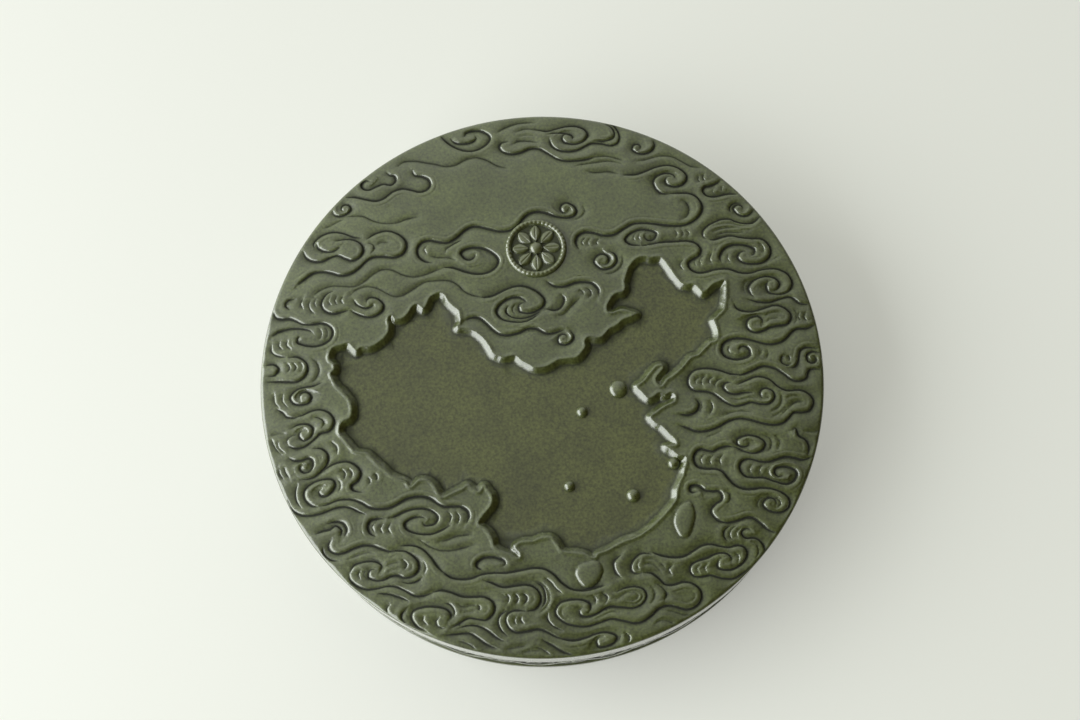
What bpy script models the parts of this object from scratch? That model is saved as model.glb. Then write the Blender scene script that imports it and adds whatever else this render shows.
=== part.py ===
"""A round carved inkstone.

One thick stone disc carries a sunken pool, two low islands, cloud scrolls cut into its face, a
running scroll round its side and a ring foot. Five domed studs peg into the pool floor, and a
rosette medallion sits in a socket on the upper half. Metres, +Z up, underside on Z = 0, the
writer's side towards -Y.
"""

import math

import bmesh
import bpy
from mathutils import Vector

# Fits
MM = 0.001
FIT_GAP = 0.0003
WELD = 0.00001

# Stone disc
STONE_RADIUS = 0.130
STONE_HEIGHT = 0.050
STONE_STEPS = 96
SHOULDER_RUN = 0.0040
SHOULDER_DROP = 0.0022
SHOULDER_STEPS = 4
FOOT_CHAMFER = 0.0015
FOOT_WIDTH = 0.028
UNDERSIDE_RECESS = 0.0040

# Side frieze: a sunk band with a running scroll on it
FRIEZE_TOP = 0.0300
FRIEZE_BOTTOM = 0.0060
FRIEZE_DEPTH = 0.0015
SCROLL_WAVES = 24
SCROLL_POINTS_PER_WAVE = 10
SCROLL_SWING = 0.0065
SCROLL_RIDGE = 0.0018
SCROLL_SINK = 0.25

# Pool
POOL_DEPTH = 0.0024
POOL_WALL_RUN = 0.0008
POOL_OVERCUT = 0.0010
OUTLINE_STEPS = 2

# Lip of the pool in millimetres, clockwise from its north-west peak
POOL_OUTLINE = [
    (-46, 40.5), (-42, 36), (-37, 30.5), (-38, 23), (-30.5, 21), (-24.5, 14.5), (-22, 9.5),
    (-17, 7.2), (-12, 7.8), (-6, 3.2), (1, 1.2), (8, 4.3), (16.5, 5.3), (21, 10.5), (22.5, 15),
    (29, 14.8), (36, 20), (42, 23.3), (45.5, 25), (38, 27.5), (32.3, 27), (34, 33), (40, 36.3),
    (41.3, 41.5), (45, 50), (51.5, 53), (57.5, 52.6), (62.5, 47), (67.5, 38.8), (73, 38),
    (77, 33.8), (82.5, 37.5), (88, 39), (87.3, 30), (83, 22.3), (80.8, 20.5), (82.2, 13.5),
    (78.5, 9.5), (73, 4.3), (66, 0), (60, -5.5), (54.3, -10.2), (52.3, -7.5), (56, -2), (53, -0.3),
    (47.5, -5.8), (43, -9.8), (47.8, -16), (53.3, -13.5), (58.5, -13.8), (60.3, -15.8), (57, -19),
    (51.3, -22.3), (48.3, -24.5), (52.8, -29), (58.5, -35.3), (59.3, -38), (54.3, -38.5),
    (59.8, -43.3), (63, -44), (60.5, -53), (57, -63), (50.5, -70.3), (43, -76.3), (35, -79.7),
    (23, -84.7), (19.3, -87.3), (15.5, -85.8), (5, -83.5), (1.8, -78.5), (-4, -77), (-11.5, -78.2),
    (-15.7, -81), (-14.5, -85.5), (-21.5, -82.3), (-25.3, -77), (-31.2, -69.3), (-26.8, -63.3),
    (-25, -57), (-28.5, -52), (-31, -54.8), (-36, -51.5), (-42, -54.5), (-47.5, -56.5),
    (-51.5, -50), (-57.5, -48.3), (-61.5, -50.7), (-67, -47), (-74, -41.5), (-80.5, -35),
    (-86.5, -33.3), (-93, -24.5), (-88.3, -18), (-87.7, -11), (-91.5, -4.8), (-96.7, 3.5),
    (-95.5, 8.3), (-97.3, 13.5), (-92, 17.3), (-89, 18), (-85, 14), (-79, 15.5), (-72, 19.7),
    (-69.5, 25.5), (-68.5, 30.5), (-63.5, 28.7), (-58, 34.7), (-53.5, 33), (-50, 38.5),
]

# Islands in millimetres
ISLAND_RISE = 0.0008
ISLAND_ROOT = 0.0010
ISLAND_EDGE = 0.0006
LEAF_ISLAND = [
    (62.5, -64.5), (58, -67), (55.5, -73), (57, -78.5), (59.5, -80.5), (62.5, -78.5), (65, -71),
    (64.5, -66.5),
]
ROUND_ISLAND = [
    (15.5, -89.2), (12, -90.5), (10.5, -94.5), (13.5, -99.5), (17, -100), (20.5, -97.5),
    (22.5, -93), (20.5, -89),
]

# Cloud scrolls: a waved tail that runs into a curl, cut as a groove with sloping walls
GROOVE_REACH = 0.0012
GROOVE_LIFT = 0.0002
CURL_POINTS_PER_TURN = 11
CURL_SHRINK = 0.33
TAIL_STEP = 0.005
TAIL_WAVE = 0.0020
TAIL_WAVELENGTH = 0.024
LEFT, RIGHT = 1, -1
# Centre and radius of the curl in millimetres, the side of it in degrees where the tail comes in, the
# way that it winds, its turns and the tail's length in millimetres
SCROLLS = [
    ((-88, 65), 6.5, -90, LEFT, 0.9, 20), ((-67.5, 66), 6.6, 90, RIGHT, 0.6, 9),
    ((-27, 56), 7.5, -90, LEFT, 1.2, 22), ((-50.5, 61.3), 5.4, -90, RIGHT, 0.5, 4),
    ((-5, 34), 7.5, 90, RIGHT, 1.1, 24), ((16, 79), 4.2, -90, LEFT, 1.0, 6),
    ((-53, 96.5), 4.0, -90, LEFT, 0.6, 26), ((-26, 118), 5.3, -90, LEFT, 0.9, 12),
    ((22, 118), 5.2, 90, RIGHT, 1.0, 18), ((54.5, 111), 4.8, 0, RIGHT, 1.0, 4),
    ((67.5, 94), 5.8, 90, RIGHT, 1.1, 20), ((72, 76.5), 8.0, -90, LEFT, 0.5, 40),
    ((33, 52.3), 4.6, 80, RIGHT, 1.1, 2), ((49, 63), 4.2, -90, RIGHT, 0.8, 20),
    ((104, 53.5), 6.3, 90, RIGHT, 1.1, 20), ((112.5, 38), 6.0, 90, RIGHT, 1.0, 26),
    ((111.5, 21), 4.8, 90, RIGHT, 0.7, 16), ((90, 5.5), 5.0, 90, LEFT, 1.1, 30),
    ((72, -8.5), 5.2, 90, LEFT, 0.6, 36), ((93.5, -39.5), 4.4, -90, LEFT, 1.1, 12),
    ((71.3, -45.3), 4.6, 90, LEFT, 0.55, 10), ((91.5, -50.7), 4.2, 90, LEFT, 0.6, 24),
    ((102, -65.7), 5.3, 90, RIGHT, 1.1, 20), ((80.5, -90.5), 5.0, 90, RIGHT, 1.0, 34),
    ((8.5, -111), 5.8, -90, RIGHT, 1.0, 30), ((-17, -113.3), 4.5, 90, LEFT, 0.9, 6),
    ((-53.5, -109.5), 5.2, 180, RIGHT, 1.1, 2), ((-31, -107), 4.8, 90, RIGHT, 0.8, 20),
    ((-64.5, -86), 5.8, 90, RIGHT, 0.8, 22), ((-82.5, -89), 5.2, 180, RIGHT, 1.1, 2),
    ((-55, -65.5), 4.2, 90, RIGHT, 1.0, 18), ((-103, -51.5), 6.0, -90, RIGHT, 1.2, 30),
    ((-108.5, -38.5), 3.4, 90, RIGHT, 0.9, 8), ((-101.5, -18.6), 5.6, 90, RIGHT, 0.5, 12),
    ((-110.5, -6.2), 4.2, 90, LEFT, 1.0, 8), ((-101, 23), 5.4, 90, RIGHT, 0.9, 18),
    ((-113, 7), 5.6, 90, RIGHT, 0.5, 6), ((-77, 35.5), 4.8, -90, LEFT, 1.0, 9),
    ((-96, 38.6), 5.2, -90, RIGHT, 0.5, 2),
]

# Studs: name, place in millimetres, cap radius, cap height
STUDS = [
    ("stud_north", (34.8, -10.2), 0.0042, 0.0019),
    ("stud_centre", (17.6, -20.2), 0.0027, 0.0021),
    ("stud_southwest", (9.9, -54.3), 0.0026, 0.0021),
    ("stud_south", (38.3, -60.0), 0.0032, 0.0024),
    ("stud_east", (57.4, -46.4), 0.0027, 0.0021),
]
STUD_STEPS = 24
CAP_STEPS = 4
CAP_RIM = 0.0004
TENON_RATIO = 0.55
TENON_LENGTH = 0.0040

# Medallion
MEDALLION_PLACE = (0.5, 60.0)
MEDALLION_RADIUS = 0.0145
MEDALLION_STEPS = 48
MEDALLION_SEAT = 0.0025
PLATE_RISE = 0.0003
RING_WIDTH = 0.0028
RING_RISE = 0.0018
RING_STEPS = 6
PEARL_RADIUS = 0.0031
PEARL_RISE = 0.0022
PETALS = 8
PETAL_REACH = 0.0073
PETAL_SIZE = (0.0035, 0.0023, 0.0012)
PETAL_SEGMENTS, PETAL_RINGS = 10, 6

# Colours in linear light
STONE_COLOUR = (0.098, 0.100, 0.084)
INSET_COLOUR = (0.120, 0.118, 0.098)
STONE_ROUGHNESS = 0.42
INSET_ROUGHNESS = 0.34


def clear_scene():
    for old in list(bpy.data.objects):
        bpy.data.objects.remove(old, do_unlink=True)


def new_collection(name):
    group = bpy.data.collections.new(name)
    bpy.context.scene.collection.children.link(group)
    return group


def stone_material(name, colour, roughness):
    finish = bpy.data.materials.new(name)
    finish.use_nodes = True
    shader = finish.node_tree.nodes["Principled BSDF"]
    shader.inputs["Base Color"].default_value = (*colour, 1.0)
    shader.inputs["Roughness"].default_value = roughness
    shader.inputs["Metallic"].default_value = 0.0
    return finish


def add_object(name, mesh, group, finish=None):
    """Puts a mesh in a group: a part takes a finish, and a cutter has none and stays unseen."""
    obj = bpy.data.objects.new(name, mesh)
    group.objects.link(obj)
    if finish:
        mesh.materials.append(finish)
    else:
        obj.hide_render = True
        obj.display_type = "WIRE"
    return obj


def mesh_from(bm, name):
    mesh = bpy.data.meshes.new(name)
    bm.to_mesh(mesh)
    bm.free()
    return mesh


def turned(name, profile, steps, group, finish):
    """Turns a profile of (radius, height) points, read from the top down, round Z."""
    bm = bmesh.new()
    rings = [bm.verts.new((radius, 0.0, height)) for radius, height in profile]
    for upper, lower in zip(rings, rings[1:]):
        bm.edges.new((upper, lower))
    obj = add_object(name, mesh_from(bm, name), group, finish)
    screw = obj.modifiers.new("Turn", "SCREW")
    screw.steps = steps
    screw.render_steps = steps
    screw.use_merge_vertices = True
    screw.merge_threshold = WELD
    screw.use_smooth_shade = False
    return obj


def quarter_round(run, rise, steps):
    """Points of a quarter ellipse, from the crown outwards and down: (out, down) pairs."""
    angles = [math.pi / 2 * step / steps for step in range(steps + 1)]
    return [(run * math.sin(angle), rise * (1 - math.cos(angle))) for angle in angles]


def smooth_loop(points_mm, steps):
    """A closed curve through the points, in metres, with this many points for each given one."""
    corners = [Vector(point) * MM for point in points_mm]
    count = len(corners)
    loop = []
    for index in range(count):
        before, start, end, after = (corners[(index + shift) % count] for shift in (-1, 0, 1, 2))
        for step in range(steps):
            t = step / steps
            bend = 2 * before - 5 * start + 4 * end - after
            twist = 3 * start - before - 3 * end + after
            loop.append(start + 0.5 * (t * (end - before) + t * t * bend + t**3 * twist))
    return loop


def tapered(name, outline, wide_z, narrow_z, taper, group):
    """A plug on an outline at wide_z that draws in by taper on its way to narrow_z."""
    bm = bmesh.new()
    face = bm.faces.new([bm.verts.new((point.x, point.y, wide_z)) for point in outline])
    face.normal_update()
    bmesh.ops.inset_region(bm, faces=[face], thickness=taper, use_even_offset=True, use_boundary=True)
    for vert in face.verts:
        vert.co.z = narrow_z
    rim = [edge for edge in bm.edges if edge.is_boundary]
    bmesh.ops.holes_fill(bm, edges=rim, sides=0)
    bmesh.ops.recalc_face_normals(bm, faces=bm.faces)
    return add_object(name, mesh_from(bm, name), group)


def round_plug(name, place, radius, top, bottom, steps, group):
    bm = bmesh.new()
    bmesh.ops.create_cone(
        bm, cap_ends=True, segments=steps, radius1=radius, radius2=radius, depth=top - bottom
    )
    bmesh.ops.translate(bm, vec=(*place, (top + bottom) / 2), verts=bm.verts)
    return add_object(name, mesh_from(bm, name), group)


def solid_from_curve(curve, name, group):
    """The mesh of a curve, with its loose caps welded, as an object in place of the curve."""
    graph = bpy.context.evaluated_depsgraph_get()
    mesh = bpy.data.meshes.new_from_object(curve.evaluated_get(graph))
    bm = bmesh.new()
    bm.from_mesh(mesh)
    bmesh.ops.remove_doubles(bm, verts=bm.verts, dist=WELD)
    bmesh.ops.recalc_face_normals(bm, faces=bm.faces)
    bm.to_mesh(mesh)
    bm.free()
    obj = add_object(name, mesh, group)
    obj.matrix_world = curve.matrix_world
    bpy.data.objects.remove(curve, do_unlink=True)
    return obj


def combine(obj, operation, other):
    step = obj.modifiers.new(other.name, "BOOLEAN")
    step.operation = operation
    step.solver = "EXACT"
    step.object = other


def stone_profile():
    shoulder = [
        (STONE_RADIUS - SHOULDER_RUN + out, STONE_HEIGHT - down)
        for out, down in quarter_round(SHOULDER_RUN, SHOULDER_DROP, SHOULDER_STEPS)
    ]
    sunk = STONE_RADIUS - FRIEZE_DEPTH
    foot_inside = STONE_RADIUS - FOOT_WIDTH
    side = [
        (STONE_RADIUS, FRIEZE_TOP),
        (sunk, FRIEZE_TOP - FRIEZE_DEPTH),
        (sunk, FRIEZE_BOTTOM + FRIEZE_DEPTH),
        (STONE_RADIUS, FRIEZE_BOTTOM),
        (STONE_RADIUS, FOOT_CHAMFER),
        (STONE_RADIUS - FOOT_CHAMFER, 0.0),
    ]
    underside = [
        (foot_inside, 0.0),
        (foot_inside - UNDERSIDE_RECESS, UNDERSIDE_RECESS),
        (0.0, UNDERSIDE_RECESS),
    ]
    return [(0.0, STONE_HEIGHT)] + shoulder + side + underside


def running_scroll(group):
    """A ridge that swings up and down round the sunk band, half buried in it."""
    data = bpy.data.curves.new("running_scroll", "CURVE")
    data.dimensions = "3D"
    data.bevel_depth = SCROLL_RIDGE
    data.bevel_resolution = 0
    points = SCROLL_WAVES * SCROLL_POINTS_PER_WAVE
    spline = data.splines.new("POLY")
    spline.points.add(points - 1)
    spline.use_cyclic_u = True
    reach = STONE_RADIUS - FRIEZE_DEPTH - SCROLL_SINK * SCROLL_RIDGE
    middle = (FRIEZE_TOP + FRIEZE_BOTTOM) / 2
    for index, point in enumerate(spline.points):
        turn = 2 * math.pi * index / points
        height = middle + SCROLL_SWING * math.sin(SCROLL_WAVES * turn)
        point.co = (reach * math.cos(turn), reach * math.sin(turn), height, 1.0)
    curve = bpy.data.objects.new("running_scroll", data)
    group.objects.link(curve)
    return solid_from_curve(curve, "running_scroll_ridge", group)


def cloud_scroll(centre, radius, entry, way, turns, tail):
    """Points of one scroll: the tail waves in along the tangent at its entry, then the curl shrinks."""
    start = math.radians(entry)
    outward = Vector((math.cos(start), math.sin(start)))
    ahead = way * Vector((-outward.y, outward.x))
    entrance = Vector(centre) * MM + radius * MM * outward
    steps = max(round(tail * MM / TAIL_STEP), 1)
    line = []
    for step in range(steps, 0, -1):
        run = tail * MM * step / steps
        wave = TAIL_WAVE / 2 * (1 - math.cos(2 * math.pi * run / TAIL_WAVELENGTH))
        line.append(entrance - run * ahead - wave * outward)
    for step in range(math.ceil(turns * CURL_POINTS_PER_TURN) + 1):
        turned_by = step / CURL_POINTS_PER_TURN
        angle = start + way * 2 * math.pi * turned_by
        reach = radius * MM * CURL_SHRINK**turned_by
        line.append(Vector(centre) * MM + reach * Vector((math.cos(angle), math.sin(angle))))
    return line


def scroll_cutter(number, line, group):
    """A square bar on its edge along a scroll, which leaves a groove where it meets the face."""
    name = f"cloud_scroll_{number}"
    data = bpy.data.curves.new(name, "CURVE")
    data.dimensions = "3D"
    data.bevel_depth = GROOVE_REACH
    data.bevel_resolution = 0
    data.use_fill_caps = True
    spline = data.splines.new("POLY")
    spline.points.add(len(line) - 1)
    for point, place in zip(spline.points, line):
        point.co = (place.x, place.y, STONE_HEIGHT + GROOVE_LIFT, 1.0)
    curve = bpy.data.objects.new(name, data)
    group.objects.link(curve)
    return solid_from_curve(curve, name + "_cut", group)


def stud_profile(radius, height, floor):
    seat = floor + FIT_GAP
    dome = [
        (out, seat + CAP_RIM + height - down)
        for out, down in quarter_round(radius, height, CAP_STEPS)
    ]
    tenon = TENON_RATIO * radius
    end = floor - TENON_LENGTH
    return dome + [(radius, seat), (tenon, seat), (tenon, end), (0.0, end)]


def medallion_profile():
    """Heights are from the stone's top face: pearl, plate, ring, then the seated edge."""
    pearl = [
        (out, PLATE_RISE + PEARL_RISE - down)
        for out, down in quarter_round(PEARL_RADIUS, PEARL_RISE, CAP_STEPS)
    ]
    crest = MEDALLION_RADIUS - RING_WIDTH / 2
    ring = []
    for step in range(RING_STEPS + 1):
        swing = math.pi * step / RING_STEPS
        out = crest - RING_WIDTH / 2 * math.cos(swing)
        ring.append((out, PLATE_RISE + RING_RISE * math.sin(swing)))
    bottom = FIT_GAP - MEDALLION_SEAT
    return pearl + ring + [(MEDALLION_RADIUS, bottom), (0.0, bottom)]


def petals(group):
    """Low pointed ovals that stand round the pearl and sink half their height into the plate."""
    bm = bmesh.new()
    for index in range(PETALS):
        petal = bmesh.ops.create_uvsphere(
            bm, u_segments=PETAL_SEGMENTS, v_segments=PETAL_RINGS, radius=1.0
        )["verts"]
        bmesh.ops.scale(bm, vec=PETAL_SIZE, verts=petal)
        bmesh.ops.translate(bm, vec=(PETAL_REACH, 0.0, PLATE_RISE), verts=petal)
        for vert in petal:
            turn = 2 * math.pi * index / PETALS
            x, y = vert.co.x, vert.co.y
            vert.co.x = x * math.cos(turn) - y * math.sin(turn)
            vert.co.y = x * math.sin(turn) + y * math.cos(turn)
    return add_object("rosette_petals", mesh_from(bm, "rosette_petals"), group)


def build_stone(parts, cutters, finish):
    floor = STONE_HEIGHT - POOL_DEPTH
    stone = turned("stone_body", stone_profile(), STONE_STEPS, parts, finish)
    combine(stone, "UNION", running_scroll(cutters))
    for name, points in (("leaf_island", LEAF_ISLAND), ("round_island", ROUND_ISLAND)):
        island = tapered(
            name,
            smooth_loop(points, OUTLINE_STEPS),
            STONE_HEIGHT - ISLAND_ROOT,
            STONE_HEIGHT + ISLAND_RISE,
            ISLAND_EDGE,
            cutters,
        )
        combine(stone, "UNION", island)
    for number, scroll in enumerate(SCROLLS):
        combine(stone, "DIFFERENCE", scroll_cutter(number, cloud_scroll(*scroll), cutters))
    pool = tapered(
        "pool_cut",
        smooth_loop(POOL_OUTLINE, OUTLINE_STEPS),
        STONE_HEIGHT + POOL_OVERCUT,
        floor,
        POOL_WALL_RUN,
        cutters,
    )
    combine(stone, "DIFFERENCE", pool)
    for name, place, radius, _ in STUDS:
        socket = round_plug(
            name + "_socket",
            Vector(place) * MM,
            TENON_RATIO * radius + FIT_GAP,
            floor + POOL_OVERCUT,
            floor - TENON_LENGTH - FIT_GAP,
            STUD_STEPS,
            cutters,
        )
        combine(stone, "DIFFERENCE", socket)
    seat = round_plug(
        "medallion_seat",
        Vector(MEDALLION_PLACE) * MM,
        MEDALLION_RADIUS + FIT_GAP,
        STONE_HEIGHT + POOL_OVERCUT,
        STONE_HEIGHT - MEDALLION_SEAT,
        MEDALLION_STEPS,
        cutters,
    )
    combine(stone, "DIFFERENCE", seat)


def build_studs(parts, finish):
    floor = STONE_HEIGHT - POOL_DEPTH
    for name, place, radius, height in STUDS:
        stud = turned(name, stud_profile(radius, height, floor), STUD_STEPS, parts, finish)
        stud.location = (*(Vector(place) * MM), 0.0)


def build_medallion(parts, cutters, finish):
    place = (*(Vector(MEDALLION_PLACE) * MM), STONE_HEIGHT)
    medallion = turned("medallion", medallion_profile(), MEDALLION_STEPS, parts, finish)
    medallion.location = place
    rosette = petals(cutters)
    rosette.location = place
    combine(medallion, "UNION", rosette)


def main():
    clear_scene()
    parts = new_collection("inkstone")
    cutters = new_collection("cutters")
    stone = stone_material("ink_stone", STONE_COLOUR, STONE_ROUGHNESS)
    inset = stone_material("inset_stone", INSET_COLOUR, INSET_ROUGHNESS)
    build_stone(parts, cutters, stone)
    build_studs(parts, inset)
    build_medallion(parts, cutters, inset)


main()
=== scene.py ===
"""The looks of a round carved inkstone: cloud scrolls cut round a sunken pool, studs and a medallion."""

import math

import bmesh
import bpy
import numpy as np
from mathutils import Matrix, Vector


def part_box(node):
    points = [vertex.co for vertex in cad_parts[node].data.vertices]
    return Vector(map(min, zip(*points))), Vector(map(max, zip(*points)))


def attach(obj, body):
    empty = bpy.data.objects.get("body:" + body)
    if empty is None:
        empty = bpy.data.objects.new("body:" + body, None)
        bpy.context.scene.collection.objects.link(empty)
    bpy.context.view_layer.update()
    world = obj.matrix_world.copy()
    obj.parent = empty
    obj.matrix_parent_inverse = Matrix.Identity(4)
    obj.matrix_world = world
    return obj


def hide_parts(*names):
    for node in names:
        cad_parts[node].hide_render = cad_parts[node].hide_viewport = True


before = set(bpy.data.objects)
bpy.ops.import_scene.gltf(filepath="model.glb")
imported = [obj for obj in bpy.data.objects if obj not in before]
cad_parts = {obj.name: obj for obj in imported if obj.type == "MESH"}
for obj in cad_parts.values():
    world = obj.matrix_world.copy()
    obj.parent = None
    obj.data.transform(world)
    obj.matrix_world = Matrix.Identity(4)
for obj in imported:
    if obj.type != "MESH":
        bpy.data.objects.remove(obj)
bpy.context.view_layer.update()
MM = 0.001

# Sizes read from the frame, in millimetres
ISLAND_RISE = 0.8
stone_low, stone_high = (np.array(corner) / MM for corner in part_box("stone_body"))
RADIUS = (stone_high[0] - stone_low[0]) / 2
FACE = stone_high[2] - ISLAND_RISE

# Turned forms of the stone, in millimetres
POOL_DEPTH = 2.4
SHOULDER_RUN = 2.0
SHOULDER_DROP = 1.2
CROWN_RUN = 38.0
CROWN_DROP = 2.4
FRIEZE_TOP = 30.0
FRIEZE_BOTTOM = 6.0
FRIEZE_DEPTH = 1.5
FOOT_CHAMFER = 1.5
FOOT_WIDTH = 28.0
UNDERSIDE_RECESS = 4.0

# How the knife cut, in millimetres: a steep wall on the proud side of a line, and on the other a sharp
# edge to the cut that eases into a long slope
CUT_DEPTH = 1.05
CUT_WALL = 1.05
CUT_WALL_BEND = 1.4
CUT_EDGE = 0.3
CUT_EDGE_SHARE = 0.35
CUT_SLOPE = 3.2
CUT_SLOPE_BEND = 1.5
CUT_REACH = 7.0
# The stone swells behind the wall, and a faint second line follows it there
CUT_SWELL = 0.28
SWELL_AWAY = 2.5
SWELL_WIDTH = 1.6
ECHO_DEPTH = 0.22
ECHO_AWAY = 2.9
ECHO_WIDTH = 0.45
# A soft line is a groove with the same slope on both sides
SOFT_DEPTH = 0.85
SOFT_EDGE = 0.3
SOFT_WIDTH = 2.0
# Ends of lines are shallow, short lines are finer, and a curl closes in by this share each turn
CUT_FADE = 5.0
END_SHARE = 0.3
END_BEND = 0.7
FINE_LENGTH = 14.0
FINEST = 0.7
EYE_SHRINK = 0.30
# Old ink and painted shade lie along the bottom of the lines, and less of them wherever the stone is lower
# than round about; where it is higher the stone is paler, as wear and painted highlight
CUT_INK_AND_SHADE = 0.34
CUT_INK_AND_SHADE_WIDTH = 0.42
SOFT_INK_AND_SHADE = 0.4
RELIEF_SHADE_AND_HIGHLIGHT = 0.5
HOLLOW_SIZE = 5.0

# Uneven surfaces, each as a height in millimetres, the size of its bumps in millimetres and a seed
FIELD_WAVER = (0.10, 14.0, 3)
EDGE_WAVER = (0.25, 3.5, 5)
EDGE_CHIPS = (0.1, 1.2, 7)
FLOOR_WAVER = (0.03, 5.0, 6)

# Islands, with a shallow moat cut round each
ISLAND_ROUND = 0.7
ISLAND_SINK = 0.1
MOAT_DEPTH = 0.35
MOAT_WIDTH = 1.4

# Pool wall, which steepens as it goes down, the raised lip over it, the ink stain and painted shade along its
# foot, and wear with a painted highlight on the wall
POOL_REACH = 30.0
CUT_CLEAR = 1.2
WALL_RUN = 2.8
WALL_BEND = 1.22
WALL_WEAR_AND_HIGHLIGHT = 0.14
WALL_POLISH = 0.4
LIP_RISE = 0.45
LIP_AWAY = 0.5
LIP_WIDTH = 0.9
FOOT_INK_AND_SHADE = 0.34
FOOT_INK_AND_SHADE_WIDTH = 0.9
FOOT_INK_AND_SHADE_CLIMB = 0.4

# Mesh of the carved stone
GRID_CELLS = 900
RASTER_CELL = 0.16
PATH_STEP = 0.5
SPAN_STEPS = 12
CURL_STEPS = 12
SIDE_STEP = 0.7
SIDE_CREASE = math.radians(40)
FACE_TRIANGLES = 190000
# A face on the carved top whose normal rises less than this is a fold
UNFOLD_ROUNDS = 20
STEEPEST = 0.3
TOP_REACH = 7.0
# The rim is rounded over, carving stops short of it, and handling has polished its edge
RIM_ROUND = 1.0
RIM_RINGS = 5
RIM_CLEAR = 0.3
RIM_FADE = 1.6
RIM_BAND = 0.6
RIM_BAND_FADE = 0.5

# Side frieze: a running scroll with a curl in each hollow, in millimetres from the middle of the band
SCROLL_WAVES = 24
SCROLL_SWING = 6.5
SCROLL_RIDGE = 1.8
SCROLL_RISE = 1.35
SCROLL_HOOK = [(0.5, 0.3), (2.6, -3.4), (6.5, -6.2), (11, -5.6), (13.4, -2.2)]
SCROLL_EYE = (9.6, -1.8)
SCROLL_TURNS = 1.1
CURL_SHARE = 0.75
# The sunk band has painted shade all over and more in its hollows, and its raised scroll is paler, as wear
# and painted highlight
BAND_SHADE = 0.35
BAND_HOLLOW_SIZE = 2.4
BAND_POLISH = 0.2

# Studs: a dome on a short stem that is sunk into the floor
STUD_STEM = 0.5
STUD_SEAT = 0.3
STUD_SEGMENTS = 64
STUD_RINGS = 14

# Medallion
PLATE_RISE = 0.3
PLATE_RINGS = 64
PLATE_SEGMENTS = 192
PLATE_EDGE = 0.6
PEARL_RADIUS = 3.1
PETALS = 8
PETAL_RISE = 1.2
PETAL_FILL = 0.92
PETAL_GAP = 0.4
VEIN_DEPTH = 0.3
VEIN_WIDTH = 0.10
RING_WIDTH = 2.8
RING_RISE = 1.8
RING_BEADS = 40
BEAD_NOTCH = 0.18

# Light and camera, the camera read from the photograph's rim ellipse
WINDOW_PLACE = (-1.32, -0.28, 0.8)
WINDOW_SIZE = (2.5, 1.6)
WINDOW_POWER = 57.0
ROOM_STRENGTH = 0.96
ROOM_BRIGHT_SIDE = (-0.6, 0.75, 0.2)
ROOM_SPREAD = (-0.12, 0.75)
FLOOR_GLOW = 0.35
FLOOR_SIZE = 40.0
CAMERA_LENS = 48.0
CAMERA_DISTANCE = 663.5
CAMERA_RISE = math.radians(73.35)
CAMERA_ROLL = math.radians(-2.98)
CAMERA_AIM = (-0.4, 5.1)

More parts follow.
